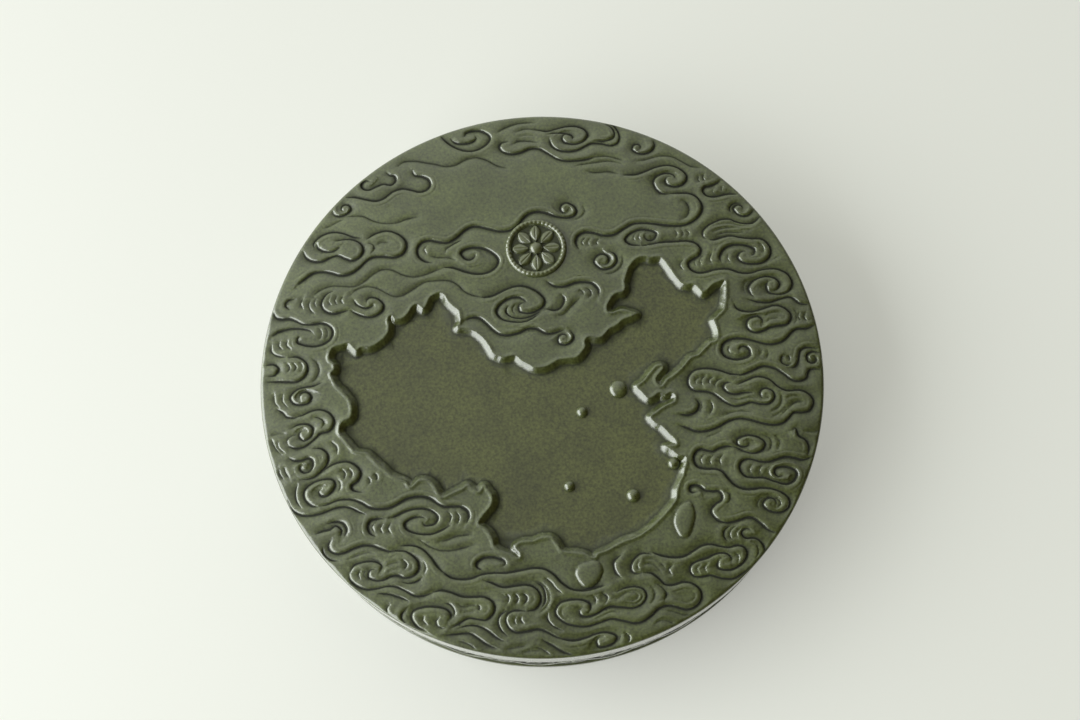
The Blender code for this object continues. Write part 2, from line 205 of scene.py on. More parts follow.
# Lip of the pool, clockwise from its north-west peak
POOL_OUTLINE = [
    (-46, 40.5), (-43.5, 39), (-42, 36), (-39.5, 33), (-37, 30.5), (-36.8, 26), (-38, 23), (-34.5, 22),
    (-30.5, 21), (-27, 18), (-24.5, 14.5), (-22, 9.5), (-19.5, 8), (-17, 7.2), (-12, 7.8), (-9, 5.5),
    (-6, 3.2), (-3, 1.5), (1, 1.2), (4.5, 2.5), (8, 4.3), (12.5, 4.8), (16.5, 5.3), (19.5, 8), (21, 10.5),
    (20.8, 13), (22.5, 15), (26, 14), (29, 14.8), (32, 17.8), (36, 20), (39, 22.2), (42, 23.3), (45.5, 25),
    (42, 26.8), (38, 27.5), (34.5, 26.3), (32.3, 27), (32.3, 30), (34, 33), (36.5, 35.3), (40, 36.3),
    (41.3, 38.5), (41.3, 41.5), (43.3, 47.5), (45, 50), (48, 52.5), (51.5, 53), (54, 52.3), (57.5, 52.6),
    (60, 51.2), (62.5, 47), (65, 42), (67.5, 38.8), (70, 38), (73, 38), (75, 36), (77, 33.8), (79.5, 35),
    (82.5, 37.5), (86, 39), (88, 39), (88, 35), (87.3, 30), (85.8, 25), (83, 22.3), (80.8, 20.5),
    (81.5, 17.5), (82.2, 13.5), (81.5, 10.3), (78.5, 9.5), (76, 7.2), (73, 4.3), (69.5, 3), (66, 0), (63, -3),
    (60, -5.5), (57, -7.3), (54.3, -10.2), (52.3, -7.5), (54, -4.5), (56, -2), (55.5, -0.3), (53, -0.3),
    (50.5, -2.3), (47.5, -5.8), (45, -8.2), (43, -9.8), (45, -12.8), (47.8, -16), (50.5, -15.3),
    (53.3, -13.5), (56, -14.8), (58.5, -13.8), (60.3, -15.3), (59.8, -17.5), (57, -19), (54, -20.3),
    (51.3, -22.3), (48.3, -24.5), (50, -27), (52.8, -29), (55.5, -32), (58.5, -35.3), (59.3, -38),
    (56.5, -38.3), (54.3, -38.5), (57, -40.8), (59.8, -43.3), (63, -44), (62.3, -48), (60.5, -53), (58, -58),
    (57, -63), (54.5, -66.3), (50.5, -70.3), (47, -73.5), (43, -76.3), (39.5, -78.5), (35, -79.7),
    (31, -81.3), (27, -83.2), (23, -84.7), (20.7, -85.5), (19.3, -87.3), (17, -86.8), (15.5, -85.8),
    (12, -84.8), (8, -84.2), (5, -83.5), (3.5, -81), (1.8, -78.5), (-0.5, -77), (-4, -77), (-7.5, -78.2),
    (-11.5, -78.2), (-14.3, -79), (-15.7, -81), (-14, -83.5), (-14.5, -85.5), (-18, -84), (-21.5, -82.3),
    (-24.5, -80), (-25.3, -77), (-26.8, -74), (-29, -71.5), (-31.2, -69.3), (-29.3, -66.3), (-26.8, -63.3),
    (-25, -60.3), (-25, -57), (-26.7, -54), (-28.5, -52), (-31, -54.8), (-33.5, -53.3), (-36, -51.5),
    (-38.5, -53), (-42, -54.5), (-47.5, -56.5), (-49.5, -53.5), (-51.5, -50), (-54, -48.5), (-57.5, -48.3),
    (-61.5, -50.7), (-63.5, -48.5), (-67, -47), (-70.5, -45), (-74, -41.5), (-77.5, -38), (-80.5, -35),
    (-84, -34.3), (-86.5, -33.3), (-88.5, -30.5), (-91, -27.5), (-93, -24.5), (-92.8, -21), (-91, -19),
    (-88.3, -18), (-87.3, -15), (-87.7, -11), (-89.3, -7.8), (-91.5, -4.8), (-94, -2.5), (-95.5, 0.5),
    (-96.7, 3.5), (-95.3, 5.5), (-95.5, 8.3), (-97.5, 10.3), (-97.3, 13.5), (-95.5, 16.2), (-92, 17.3),
    (-89, 18), (-87, 16), (-85, 14), (-83, 15.5), (-79, 15.5), (-75.5, 17), (-72, 19.7), (-70, 22.3),
    (-69.5, 25.5), (-70, 28.5), (-68.5, 30.5), (-67, 28.3), (-63.5, 28.7), (-60.5, 31.5), (-58, 34.7),
    (-56, 35), (-53.5, 33), (-51.5, 35.5), (-50, 38.5),
]

ISLANDS = [
    [(62.5, -64.5), (58, -67), (55.5, -73), (57, -78.5), (59.5, -80.5), (62.5, -78.5), (65, -71),
     (64.5, -66.5)],
    [(15.5, -89.2), (12, -90.5), (10.5, -94.5), (13.5, -99.5), (17, -100), (20.5, -97.5), (22.5, -93),
     (20.5, -89)],
]

# Cloud lines in millimetres. Each names the side of its line that stands proud, as it runs, or a soft
# groove; a line that ends in a curl also gives the eye that it winds round and by how many turns.
NORTH_WEST = [
    ("left", [(-110, 65.5), (-108.5, 62.3), (-105.5, 60.2), (-101, 59.6), (-96.5, 61.4), (-93.2, 62),
        (-90, 60.4), (-86.5, 59), (-83, 60.2), (-81.1, 63.2), (-82, 66.8), (-85.5, 69.3), (-90, 70),
        (-94.5, 69.5)]),
    ("left", [(-103.6, 69.5), (-102.8, 66.8), (-100.5, 65), (-97.5, 64.2), (-94.3, 64.8), (-92.3, 66.6)]),
    ("right", [(-104.5, 66), (-104.6, 69.5), (-101.5, 72.6), (-96.5, 74.2), (-91, 73.3), (-86, 71),
        (-81.5, 70)]),
    ("right", [(-80, 69), (-75, 72), (-69.5, 73), (-64.5, 71), (-61.2, 67.7), (-60.6, 64), (-62.5, 60.8),
        (-66.5, 59.4), (-71.5, 60.1), (-76.5, 60), (-80, 58), (-83.5, 54.6), (-87.5, 52.3), (-92, 51.8),
        (-96.5, 53.4), (-100.5, 54.3), (-105, 53.8), (-109, 51.3), (-112.5, 48.5)]),
    ("right", [(-80, 67.6), (-76.8, 66.5), (-76, 64), (-78.2, 61.6)]),
    ("right", [(-104, 33.2), (-106.3, 35.5), (-107, 38.5), (-105.6, 41.5)]),
    ("soft", [(-106, 40.5), (-104, 43.5), (-100.5, 45.6), (-96, 46.8), (-90.5, 46.3), (-85, 46),
        (-80.5, 48.3), (-76.5, 51.6), (-72, 53.6), (-67.5, 53), (-63, 50.6), (-58, 49.2), (-52.5, 49.8),
        (-47, 51.8), (-42.5, 53)]),
    ("right", [(-44, 53), (-39, 52.6), (-33.5, 50.4), (-28, 48.9), (-22.5, 49.4), (-18.8, 51.8), (-17.4, 55),
        (-19, 58), (-23, 61), (-28, 62.3), (-32.5, 61.7), (-34.9, 59.8)], (-30.6, 59.4), 0.55),
    ("left", [(-48.5, 55.5), (-52, 56.4), (-55, 59), (-55.5, 62.8), (-53.3, 66), (-49.5, 67), (-45, 65.9),
        (-41, 65.5), (-37, 67.5), (-33, 70.9), (-29.5, 72.8), (-26, 72.7), (-21, 71.2), (-16, 69.8),
        (-11.5, 70.1), (-8, 72), (-5, 75.4), (-2, 77.9), (2, 78.8), (6, 78), (10, 76.2), (15, 75.1),
        (19, 75.6), (20.7, 77.8), (19.6, 80.6), (16.6, 82.5)], (15.5, 79.3), 0.75),
    ("left", [(-50.5, 65), (-52.3, 62.6), (-51, 60)]),
    ("right", [(-42.4, 59.8), (-41.8, 62.2), (-38.5, 64.4), (-34, 66.6)]),
    ("soft", [(-50.5, 59.4), (-46, 58.2), (-41.5, 57.9), (-37, 56.3)]),
    ("soft", [(17, 73.8), (21.5, 74.6), (24.3, 77.3), (23.6, 81)]),
    ("left", [(-69.8, 104), (-68, 102.3), (-65.6, 101.4), (-65.2, 98.8), (-67.5, 96.9), (-71, 97.7),
        (-74.5, 96.6), (-78, 95.2), (-81, 96), (-81.7, 98.3), (-80, 100.1), (-77.6, 99.9)]),
    ("left", [(-96, 85.5), (-94.8, 83.2), (-92, 82.4), (-89, 83.3), (-86.9, 85.3), (-87.6, 87.4)],
        (-89.9, 86), 0.7),
    ("right", [(-89.5, 92), (-84.5, 91.7), (-79.5, 90.1), (-75, 89), (-71, 90), (-66.5, 93.3), (-62, 94.5),
        (-58, 93.6), (-54, 92.3), (-50.6, 92.9), (-48.5, 95.3), (-49.4, 98.6), (-52.5, 100.4), (-56, 101.3),
        (-57.3, 104)]),
    ("soft", [(-91, 81.6), (-86, 82), (-81, 81.4), (-76, 78.6), (-71, 77.1), (-65, 77), (-60, 78.6),
        (-54, 79.6)]),
    ("soft", [(-64.5, 106.5), (-61, 109), (-55.5, 109), (-50, 107.6), (-46, 106.6), (-41, 105.1),
        (-36, 105.5), (-31, 108), (-26, 108.8), (-21, 107), (-16, 103.8), (-11, 102)]),
]

NORTH = [
    ("right", [(-43, 121.5), (-40, 118), (-36, 114.8), (-31, 112.7), (-26, 112.7), (-21.5, 115), (-19, 118),
        (-19.6, 120.6), (-23, 123), (-27, 123.5), (-30.4, 122.5), (-31.5, 120.3)]),
    ("left", [(-38.3, 120.4), (-37.2, 118.5), (-34.5, 117), (-31, 116.7), (-27.6, 117.4), (-25.8, 119),
        (-26.6, 121)]),
    ("left", [(-10, 116.5), (-13.5, 115.8), (-14.6, 113.4), (-12.8, 110.9), (-8.5, 109.6), (-4, 110.3),
        (0.5, 112), (4.5, 111.6), (8.5, 109), (12.5, 106), (16.5, 104.6), (21.5, 104.3), (26.5, 104.7),
        (32, 106)]),
    ("soft", [(30, 105.5), (35, 106.2), (40, 105.2), (45, 103.2)]),
    ("right", [(3, 122.8), (8, 121), (13, 122), (18, 123.1), (23, 123), (27, 121), (28.3, 117.6), (26, 114.6),
        (22, 113.3), (18, 114)], (18.4, 117.2), 0.6),
    ("right", [(8, 119), (12, 119.7), (17, 119.5), (20.6, 117.9), (20.7, 115.5)]),
    ("left", [(9.6, 117.5), (10.4, 113.6), (13, 110.8), (18, 109.5), (23, 110), (27, 112), (30, 113.3),
        (34.5, 113), (39, 111.8), (42.5, 113), (43.6, 116.5), (42.5, 120.5), (40, 123.5), (35.5, 125.4)]),
    ("left", [(30.5, 114.7), (36, 114.3), (40.3, 115.6), (41.3, 118.2), (40, 121.5), (36.5, 123.8)]),
    ("soft", [(-7, 121.3), (-2, 123), (3, 122.3), (8, 120.8)]),
    ("soft", [(-88, 41), (-85, 44), (-80, 45.5), (-75, 44.4), (-71, 42), (-67, 40), (-63, 40.3), (-58, 43),
        (-53, 46), (-48, 46.7), (-41, 46.3), (-37, 44), (-34, 40.6), (-30, 38.4), (-25, 37)]),
    ("right", [(-27, 37.3), (-24, 37.1), (-20, 38), (-15, 40.3), (-10, 41.8), (-5, 41.3), (0, 38.5), (3, 35),
        (3, 32), (0, 29.5), (-4, 28.3), (-8, 29)], (-6.6, 31.6), 0.5),
    ("right", [(-5, 33.5), (-8, 36), (-11.5, 36.3), (-15, 35), (-18.4, 32), (-19.3, 29), (-17, 26),
        (-13, 24.5), (-8, 24), (-4, 25), (1, 28)]),
    ("left", [(-34, 26.4), (-31, 27.5), (-27.5, 27), (-24.3, 24.2), (-21, 20.6), (-18, 18.6), (-14, 18),
        (-9, 19), (-5, 20.7), (-1, 20.3), (3, 18), (7, 18), (12, 19.4)]),
    ("right", [(14, 19), (15.8, 16), (14.8, 13.4), (12, 12), (9, 12.7)], (11.2, 15), 0.7),
    ("right", [(3, 30), (8, 29), (11, 30.5), (12.5, 34), (11, 37)]),
    ("soft", [(8, 26), (12, 27), (16, 31), (20, 34.5)]),
    ("left", [(4.5, 43.5), (8, 41), (13, 40.5), (18, 42), (22, 42.2), (26, 41.3), (28.6, 38.2), (28.4, 35)]),
    ("left", [(21.6, 39.4), (24.4, 38.2), (25.2, 36), (23.6, 34)]),
    ("left", [(19.4, 38.8), (21.4, 37.4), (21.4, 35.4)]),
]

NORTH_EAST = [
    ("right", [(59.8, 113.5), (60.2, 110.6), (58.6, 108), (55.6, 106.7), (52, 107), (49.6, 108.7)], (52, 110),
        0.8),
    ("soft", [(50, 102.5), (56, 103.5), (62, 105), (68, 104.5), (73, 101.5), (77, 99), (82, 98)]),
    ("right", [(44, 95.5), (50, 95.5), (55, 97), (60, 99), (66, 99.8), (71, 98), (74.2, 94.5), (74, 91.3),
        (71.5, 89), (68, 88.4), (65, 89.4)], (66.4, 92), 0.5),
    ("right", [(66, 84.6), (61.5, 85.2), (59, 88), (58.3, 91.4), (60, 94), (64, 95.5), (67.6, 94.8),
        (69, 92.6)]),
    ("left", [(20.5, 58.5), (19.4, 62), (20.6, 65.3), (24, 67.1), (28, 66.6), (33, 65), (38, 65.3), (43, 68),
        (47, 70), (52, 70.2), (58, 69.4), (64, 68.3), (70, 68), (75, 69.6), (79, 73), (80.5, 77), (79, 81.5),
        (75.5, 84.2), (70, 84.8), (64.5, 84.6)]),
    ("soft", [(69, 70.3), (72.5, 72.5), (74, 75.6), (73.4, 79), (71, 81.6)]),
    ("left", [(24.6, 64.8), (22.4, 62.4), (23.4, 59.8)]),
    ("left", [(27, 64.4), (25, 62), (26, 59.6)]),
    ("left", [(31, 64), (29.2, 62), (30, 60)]),
    ("right", [(34, 57), (37.2, 55.4), (38.2, 52), (36, 49), (32, 48), (29, 49.5), (27.5, 52)], (32, 52.3),
        0.85),
    ("left", [(50, 58.8), (45, 59.8), (42.8, 62.2), (45.3, 65.2), (50, 67), (54.5, 66.5), (57.6, 64.9)],
        (54, 63.8), 0.6),
    ("right", [(50, 58.8), (54, 59.2), (60, 60), (66, 60), (72, 60), (76, 58.5), (78, 55.5), (77, 52.5),
        (74, 50.8), (71.6, 48.8), (72.2, 46), (75, 44), (79, 43.8), (84, 45), (90, 45), (95, 43), (100, 42.5),
        (106, 44), (112, 44.3), (116, 42.8), (118.5, 40.5), (119.5, 36.5), (117.5, 33), (113, 31.5),
        (108.6, 32.3)], (110.5, 36), 0.45),
    ("left", [(66, 66.5), (67.5, 63.8), (65.8, 61.2)]),
    ("left", [(70, 51.5), (67.6, 48.3), (69.2, 45)]),
    ("right", [(90.5, 91), (88.5, 89.4), (85.6, 88.2), (82.8, 87.6), (81.5, 85.4), (83, 83), (87, 82.3),
        (93, 83.5), (98, 83.4)]),
    ("right", [(105, 75), (103, 72.7), (100, 71.8), (97, 73), (95.4, 75.4)], (98.2, 75.6), 0.6),
    ("left", [(107.6, 71.2), (104, 68.2), (100, 67.8), (96, 68.8), (93, 70.3), (89, 70.2), (85, 68.7),
        (82, 67), (79.8, 64.6), (79.6, 62), (81.2, 60.4)]),
    ("soft", [(84, 64), (88, 65.5), (93, 66), (98, 65.5)]),
    ("soft", [(85, 62), (90, 63.5), (95, 63.5), (100, 63)]),
    ("right", [(82, 60.2), (85, 60), (89, 61.2), (93, 61.7), (97, 60.7), (102, 60), (107, 59.7), (110, 57),
        (111, 53.5), (109.6, 49.8), (106, 47.5), (101, 47.2), (97, 48.2), (95.1, 50.2)], (98.6, 51), 0.4),
    ("left", [(87.2, 47.8), (86.5, 51), (88.5, 54.7), (92, 56.8), (96, 57.2), (100, 56.5), (103, 55)],
        (101, 53.2), 0.35),
    ("left", [(83.4, 54), (81.8, 50.6), (82.8, 47.4)]),
    ("left", [(91, 53), (90.2, 50.4), (91.4, 48)]),
    ("soft", [(106, 47.6), (111, 49), (115, 51)]),
]

EAST = [
    ("right", [(101.5, 29.6), (99.2, 32.6), (98.8, 35.6), (102, 39), (107, 40.5), (111.5, 39.5), (113.4, 37)],
        (109.5, 36.2), 0.4),
    ("left", [(97.5, 29.6), (103, 28), (108, 27.7), (113, 29.2), (118, 30), (122, 26.8), (126, 26)]),
    ("right", [(91, 27.5), (92.4, 25), (95.5, 23.7), (100, 23.4), (105, 24.7), (110, 26), (114, 25),
        (117, 22), (117, 19), (115, 16.6), (111, 16.1), (107, 15.4), (104, 14), (100, 13.1), (97, 14.6),
        (96.1, 17.2), (97.6, 20), (101, 21)], (101.3, 18), 0.4),
    ("soft", [(105, 17.8), (108, 19.3), (112, 19.8)]),
    ("right", [(128, 16), (124, 14.4), (119.5, 14.3), (116.5, 12.4), (113, 9), (108, 7.3), (103, 7.8),
        (98, 9.5), (93, 10.7), (88.5, 10.5), (85, 8.8), (83.5, 5.5), (84.6, 2.5), (88, 0.8), (92, 0.6),
        (96, 2)], (93.3, 4.4), 0.6),
    ("right", [(112.6, 1.3), (111, 0.9), (110.5, -1.8), (113, -3.4), (115.6, -2.2)]),
    ("left", [(113, -4.4), (116.3, -4.2), (118.2, -2), (119, 1), (120, 3.6), (122.5, 5), (126, 4.8),
        (128.5, 4.4)]),
    ("right", [(129, 2.4), (125.5, 3), (122.8, 1.6), (122.7, -1.2)], (125.3, -0.4), 0.8),
    ("right", [(128.5, -5.5), (124, -5.5), (122.4, -7), (121.3, -9.7), (118, -10.9), (114.5, -10.1),
        (111, -7.2), (107, -4.3), (102, -3.2), (97, -5), (92, -6.7), (88, -6.6)]),
    ("left", [(92, -6.7), (87, -6.3), (81, -4), (76, -3), (71, -3.3), (68, -5.5), (66.8, -8.7), (67.5, -11.6),
        (70, -13.3), (75, -13.9), (78.5, -15.4), (83, -19.3), (87, -21.3), (91, -21), (95, -20), (99, -21),
        (103, -21), (105.6, -18.6), (105.4, -15.5), (103, -13.9)], (101.5, -16.8), 0.6),
    ("left", [(87, -10), (83.8, -10.6), (82.8, -12.6), (84.5, -14.8), (88, -15.8), (92, -15.3),
        (96.5, -15.4)]),
    ("right", [(89, -11.5), (94, -9.5), (99, -8.1), (104, -9.6), (108, -13.4), (112, -15.3), (118, -15.3),
        (122, -17.5), (123.5, -21), (121.5, -24.8), (117.5, -25.7), (114, -25.6), (111.5, -28),
        (108.5, -30.3), (104, -31), (99, -30), (94, -28.3), (89, -27.3), (84, -28.3), (79, -30.8),
        (74, -32.3), (69, -32.3), (65, -30.6), (61, -29)]),
    ("soft", [(107, -27.5), (111, -24), (115, -21), (119, -20.5)]),
    ("soft", [(107.6, -14.6), (109, -18.5), (107.4, -22.6), (103, -25)]),
    ("left", [(73, -6.6), (70.4, -8.4), (70.6, -11)]),
    ("left", [(79, -6.8), (76.6, -8.6), (76.8, -11.2)]),
    ("right", [(69.6, -17), (71, -19.8), (69.6, -23), (66, -24.5), (62, -24)]),
    ("left", [(71.4, -17.4), (72.1, -20.8), (70.2, -24.4)]),
    ("left", [(76.1, -17.8), (77.1, -21.4), (75.3, -25)]),
]

SOUTH_EAST = [
    ("left", [(84, -40), (86.6, -41), (89.8, -42.8), (94, -43.8), (98, -42.4), (99.4, -39.4), (97, -36.8),
        (93, -35.5), (89.4, -35.9), (87, -37.2), (86.8, -39.2), (88.6, -40.4), (91, -40.4)], (90.9, -39),
        0.4),
    ("right", [(86, -40.6), (82, -40), (79, -40.5), (75.5, -42), (72.8, -41.4), (70, -40.7), (67.4, -42.6),
        (66.6, -45.6), (68, -48.7), (71.5, -49.9), (76, -50.2), (79, -51.6), (81, -54.4), (84, -58),
        (88, -59.9), (92, -60.2), (96, -59.8), (101, -60.5), (105.5, -62.6), (108, -65.5), (107.3, -69),
        (103.5, -71), (98.6, -70.1), (96, -67.7)], (99.8, -67.2), 0.6),
    ("left", [(72.2, -42.6), (69.7, -45.4), (70.7, -48.8)]),
    ("left", [(76.2, -43), (73.8, -45.8), (74.6, -49)]),
    ("left", [(80.4, -43.2), (78.2, -46), (79, -49.4)]),
    ("soft", [(87, -34.5), (91, -33.8), (95.5, -34.4)]),
    ("right", [(120, -46.6), (116, -47.6), (112, -46.6), (108.5, -46), (104, -47), (100, -48), (96, -47.5),
        (92, -46.3), (88.8, -46.9), (86.9, -49.3), (87.4, -52.2), (89.5, -54.4), (93, -55), (97.5, -55.3),
        (102, -57), (107, -58.5), (110.6, -57.4), (112.6, -54.6), (112, -52.4), (109.6, -50.9), (106, -50.4),
        (103.2, -51.2), (102.4, -53.2), (104, -55), (106.4, -54.8)]),
    ("left", [(93.5, -48), (91.4, -51), (92.4, -54)]),
    ("left", [(98, -48.8), (95.8, -51.4), (96.6, -54.4)]),
    ("right", [(112.5, -34), (114, -33), (115, -36.5), (118, -38.6), (119.2, -42), (118.4, -45.5)]),
    ("soft", [(116, -34.4), (121, -35), (126, -34.7)]),
    ("left", [(66.8, -60.4), (64.2, -60.2), (63.8, -58), (66, -57), (68.2, -57.6), (70.5, -59.6), (74, -60.2),
        (76.6, -60.4), (78, -62.5), (77.4, -64.6), (75, -66), (72.7, -68.5), (73, -71), (75.5, -73.6),
        (79, -74.7), (84, -74), (88, -72.8), (91, -73.1), (94, -75.4), (97, -78.4), (100.5, -80.2)]),
    ("right", [(79, -60.4), (81.2, -62.2), (81, -64.8), (78.6, -66.3)]),
    ("right", [(89.6, -79), (88, -77.6), (85.8, -78.4), (85.2, -80.4), (87.2, -82), (91, -82.1), (94, -84.5),
        (94.8, -88), (93, -91)]),
    ("left", [(84.4, -75.9), (81, -77.6), (79.9, -80.6), (82, -83.6)]),
    ("right", [(81.4, -75.4), (77.8, -77.8), (77.2, -81), (79.6, -84)]),
    ("right", [(44, -86), (49, -88), (54, -89), (59, -88.7), (63, -86.7), (67, -84.5), (71, -84), (75, -85),
        (79, -85.7), (83, -85), (86, -86), (87, -89), (85, -92.5), (81, -95), (77, -95.5), (73.8, -94.6)],
        (76.5, -92.5), 0.4),
    ("left", [(79.4, -92.4), (79.6, -90.2), (77.4, -88.2), (73.5, -88.2), (69, -90), (65, -91), (62, -92.5),
        (61, -95), (62.4, -97.4), (66, -98), (70, -97.5), (75, -99), (80, -99.3), (84, -97.5), (88, -94.5)]),
]

SOUTH = [
    ("left", [(45, -87.2), (40, -86.6), (36.2, -89.6), (35, -93), (36.6, -95.2), (40, -95)]),
    ("right", [(40, -95), (44, -95.6), (47, -98), (49.5, -100.6), (53, -101), (58, -100), (62, -101),
        (65, -104), (65, -108), (62, -111), (58, -111.8), (54, -110.6), (50, -109.8), (46, -111),
        (43, -113.6), (39, -116), (35, -116.6), (30, -115.3), (25, -114.3), (20, -115.6), (15, -116.9),
        (10, -116.7), (5, -115.2), (1.6, -112.4), (0.7, -109.6), (3, -106.4), (7, -105.3), (12, -105.4),
        (15.6, -107)], (13.4, -109.4), 0.4),
    ("left", [(12.4, -108.7), (11.1, -110.4), (12, -112.3), (15, -112.8), (19, -111.7), (22, -110),
        (25, -109), (30, -109.5), (35, -110), (39, -108.5), (41, -105.5), (40, -102.4), (36.5, -101),
        (32, -101.3), (28, -102.8)]),
    ("soft", [(30, -105), (33, -103.4), (36.4, -103.6), (37.4, -105.4), (35, -107), (31, -106.2)]),
    ("left", [(21, -102.6), (23.8, -105), (22.4, -108)]),
    ("left", [(54, -92), (51.6, -94.2), (53, -97)]),
    ("left", [(31, -86.6), (27.6, -89.8), (28, -94), (30.6, -97)]),
    ("left", [(-2.4, -109.5), (-2.9, -113), (-0.6, -116.2), (4, -118.6)]),
    ("right", [(-22.2, -89.4), (-20.4, -88), (-21.4, -86.2), (-25, -84.8), (-29.5, -84.8), (-32.8, -86.8),
        (-32.8, -89), (-29.5, -91)]),
    ("right", [(-49, -89.4), (-45, -92.6), (-41, -93.7), (-36, -93.7), (-31, -92.2), (-26, -91.8), (-20, -92),
        (-14, -91.3), (-8, -90.5), (-3, -91.3), (1, -94), (4, -97.5), (8, -100.5), (13, -101.5), (18, -100.7),
        (23, -99.7)]),
    ("left", [(-46, -115), (-42, -113), (-37.5, -110.9), (-33.5, -111.5), (-30, -112), (-27, -110),
        (-25.8, -107), (-27, -104), (-30.5, -102), (-35, -101.8), (-40, -101.3), (-44.5, -99.4), (-49, -98.2),
        (-53.5, -98.9)]),
    ("right", [(-31, -94.5), (-27, -96), (-22, -98.2), (-17, -98), (-12, -97.7), (-8, -99), (-5.7, -102),
        (-5.6, -105.4), (-8, -108.4), (-12, -109.2)]),
    ("left", [(-12, -109.2), (-17, -108.7), (-20.2, -110), (-21.3, -112.8), (-20, -116), (-17, -118),
        (-12, -117.8), (-7.5, -117.1), (-4, -118.3), (0, -120.6), (4, -122.3)]),
    ("right", [(1, -121.3), (5, -122.4), (9, -122.8), (14, -121.7), (18.5, -120.3), (23, -120.1),
        (26.7, -121.8), (26, -124.2), (22.4, -125.8), (19, -126)], (20.2, -123.6), 0.45),
    ("left", [(-19.5, -108), (-23.3, -110.2), (-24.6, -113.2), (-23.4, -116.8), (-20.4, -119.8)]),
    ("left", [(-14.2, -111.2), (-14.6, -113), (-13.2, -114.8)]),
    ("left", [(-17, -101), (-15.4, -103.5), (-16.6, -106.4)]),
    ("left", [(-13.6, -101), (-11.4, -103.5), (-13, -106.6)]),
    ("soft", [(-10, -95.6), (-5, -97.4), (-2, -101), (-1.8, -105), (-4, -108.6), (-8, -110.6)]),
    ("left", [(-44, -115.4), (-38, -114), (-33, -114.6), (-29, -117), (-25.5, -119.9), (-22, -122)]),
    ("left", [(-48, -117.6), (-42, -117.3), (-37.4, -117.4), (-34, -119.5), (-30, -122.5), (-25.5, -124.7)]),
    ("left", [(-43, -120), (-38, -122), (-34.5, -124.6)]),
    ("left", [(-8.5, -124.6), (-5, -126.4), (-2, -129)]),
    ("left", [(-6, -121.6), (-2, -124), (2.5, -127), (7, -129)]),
    ("soft", [(-22, -125), (-16, -124.4), (-11.5, -123.8)]),
    ("left", [(28.4, -120.8), (28.3, -122.4), (27.2, -124)]),
    ("left", [(30.4, -120.2), (32.4, -122.5), (31.8, -125)]),
    ("soft", [(43, -117.6), (47, -116), (50.5, -116.9), (54, -119)]),
]

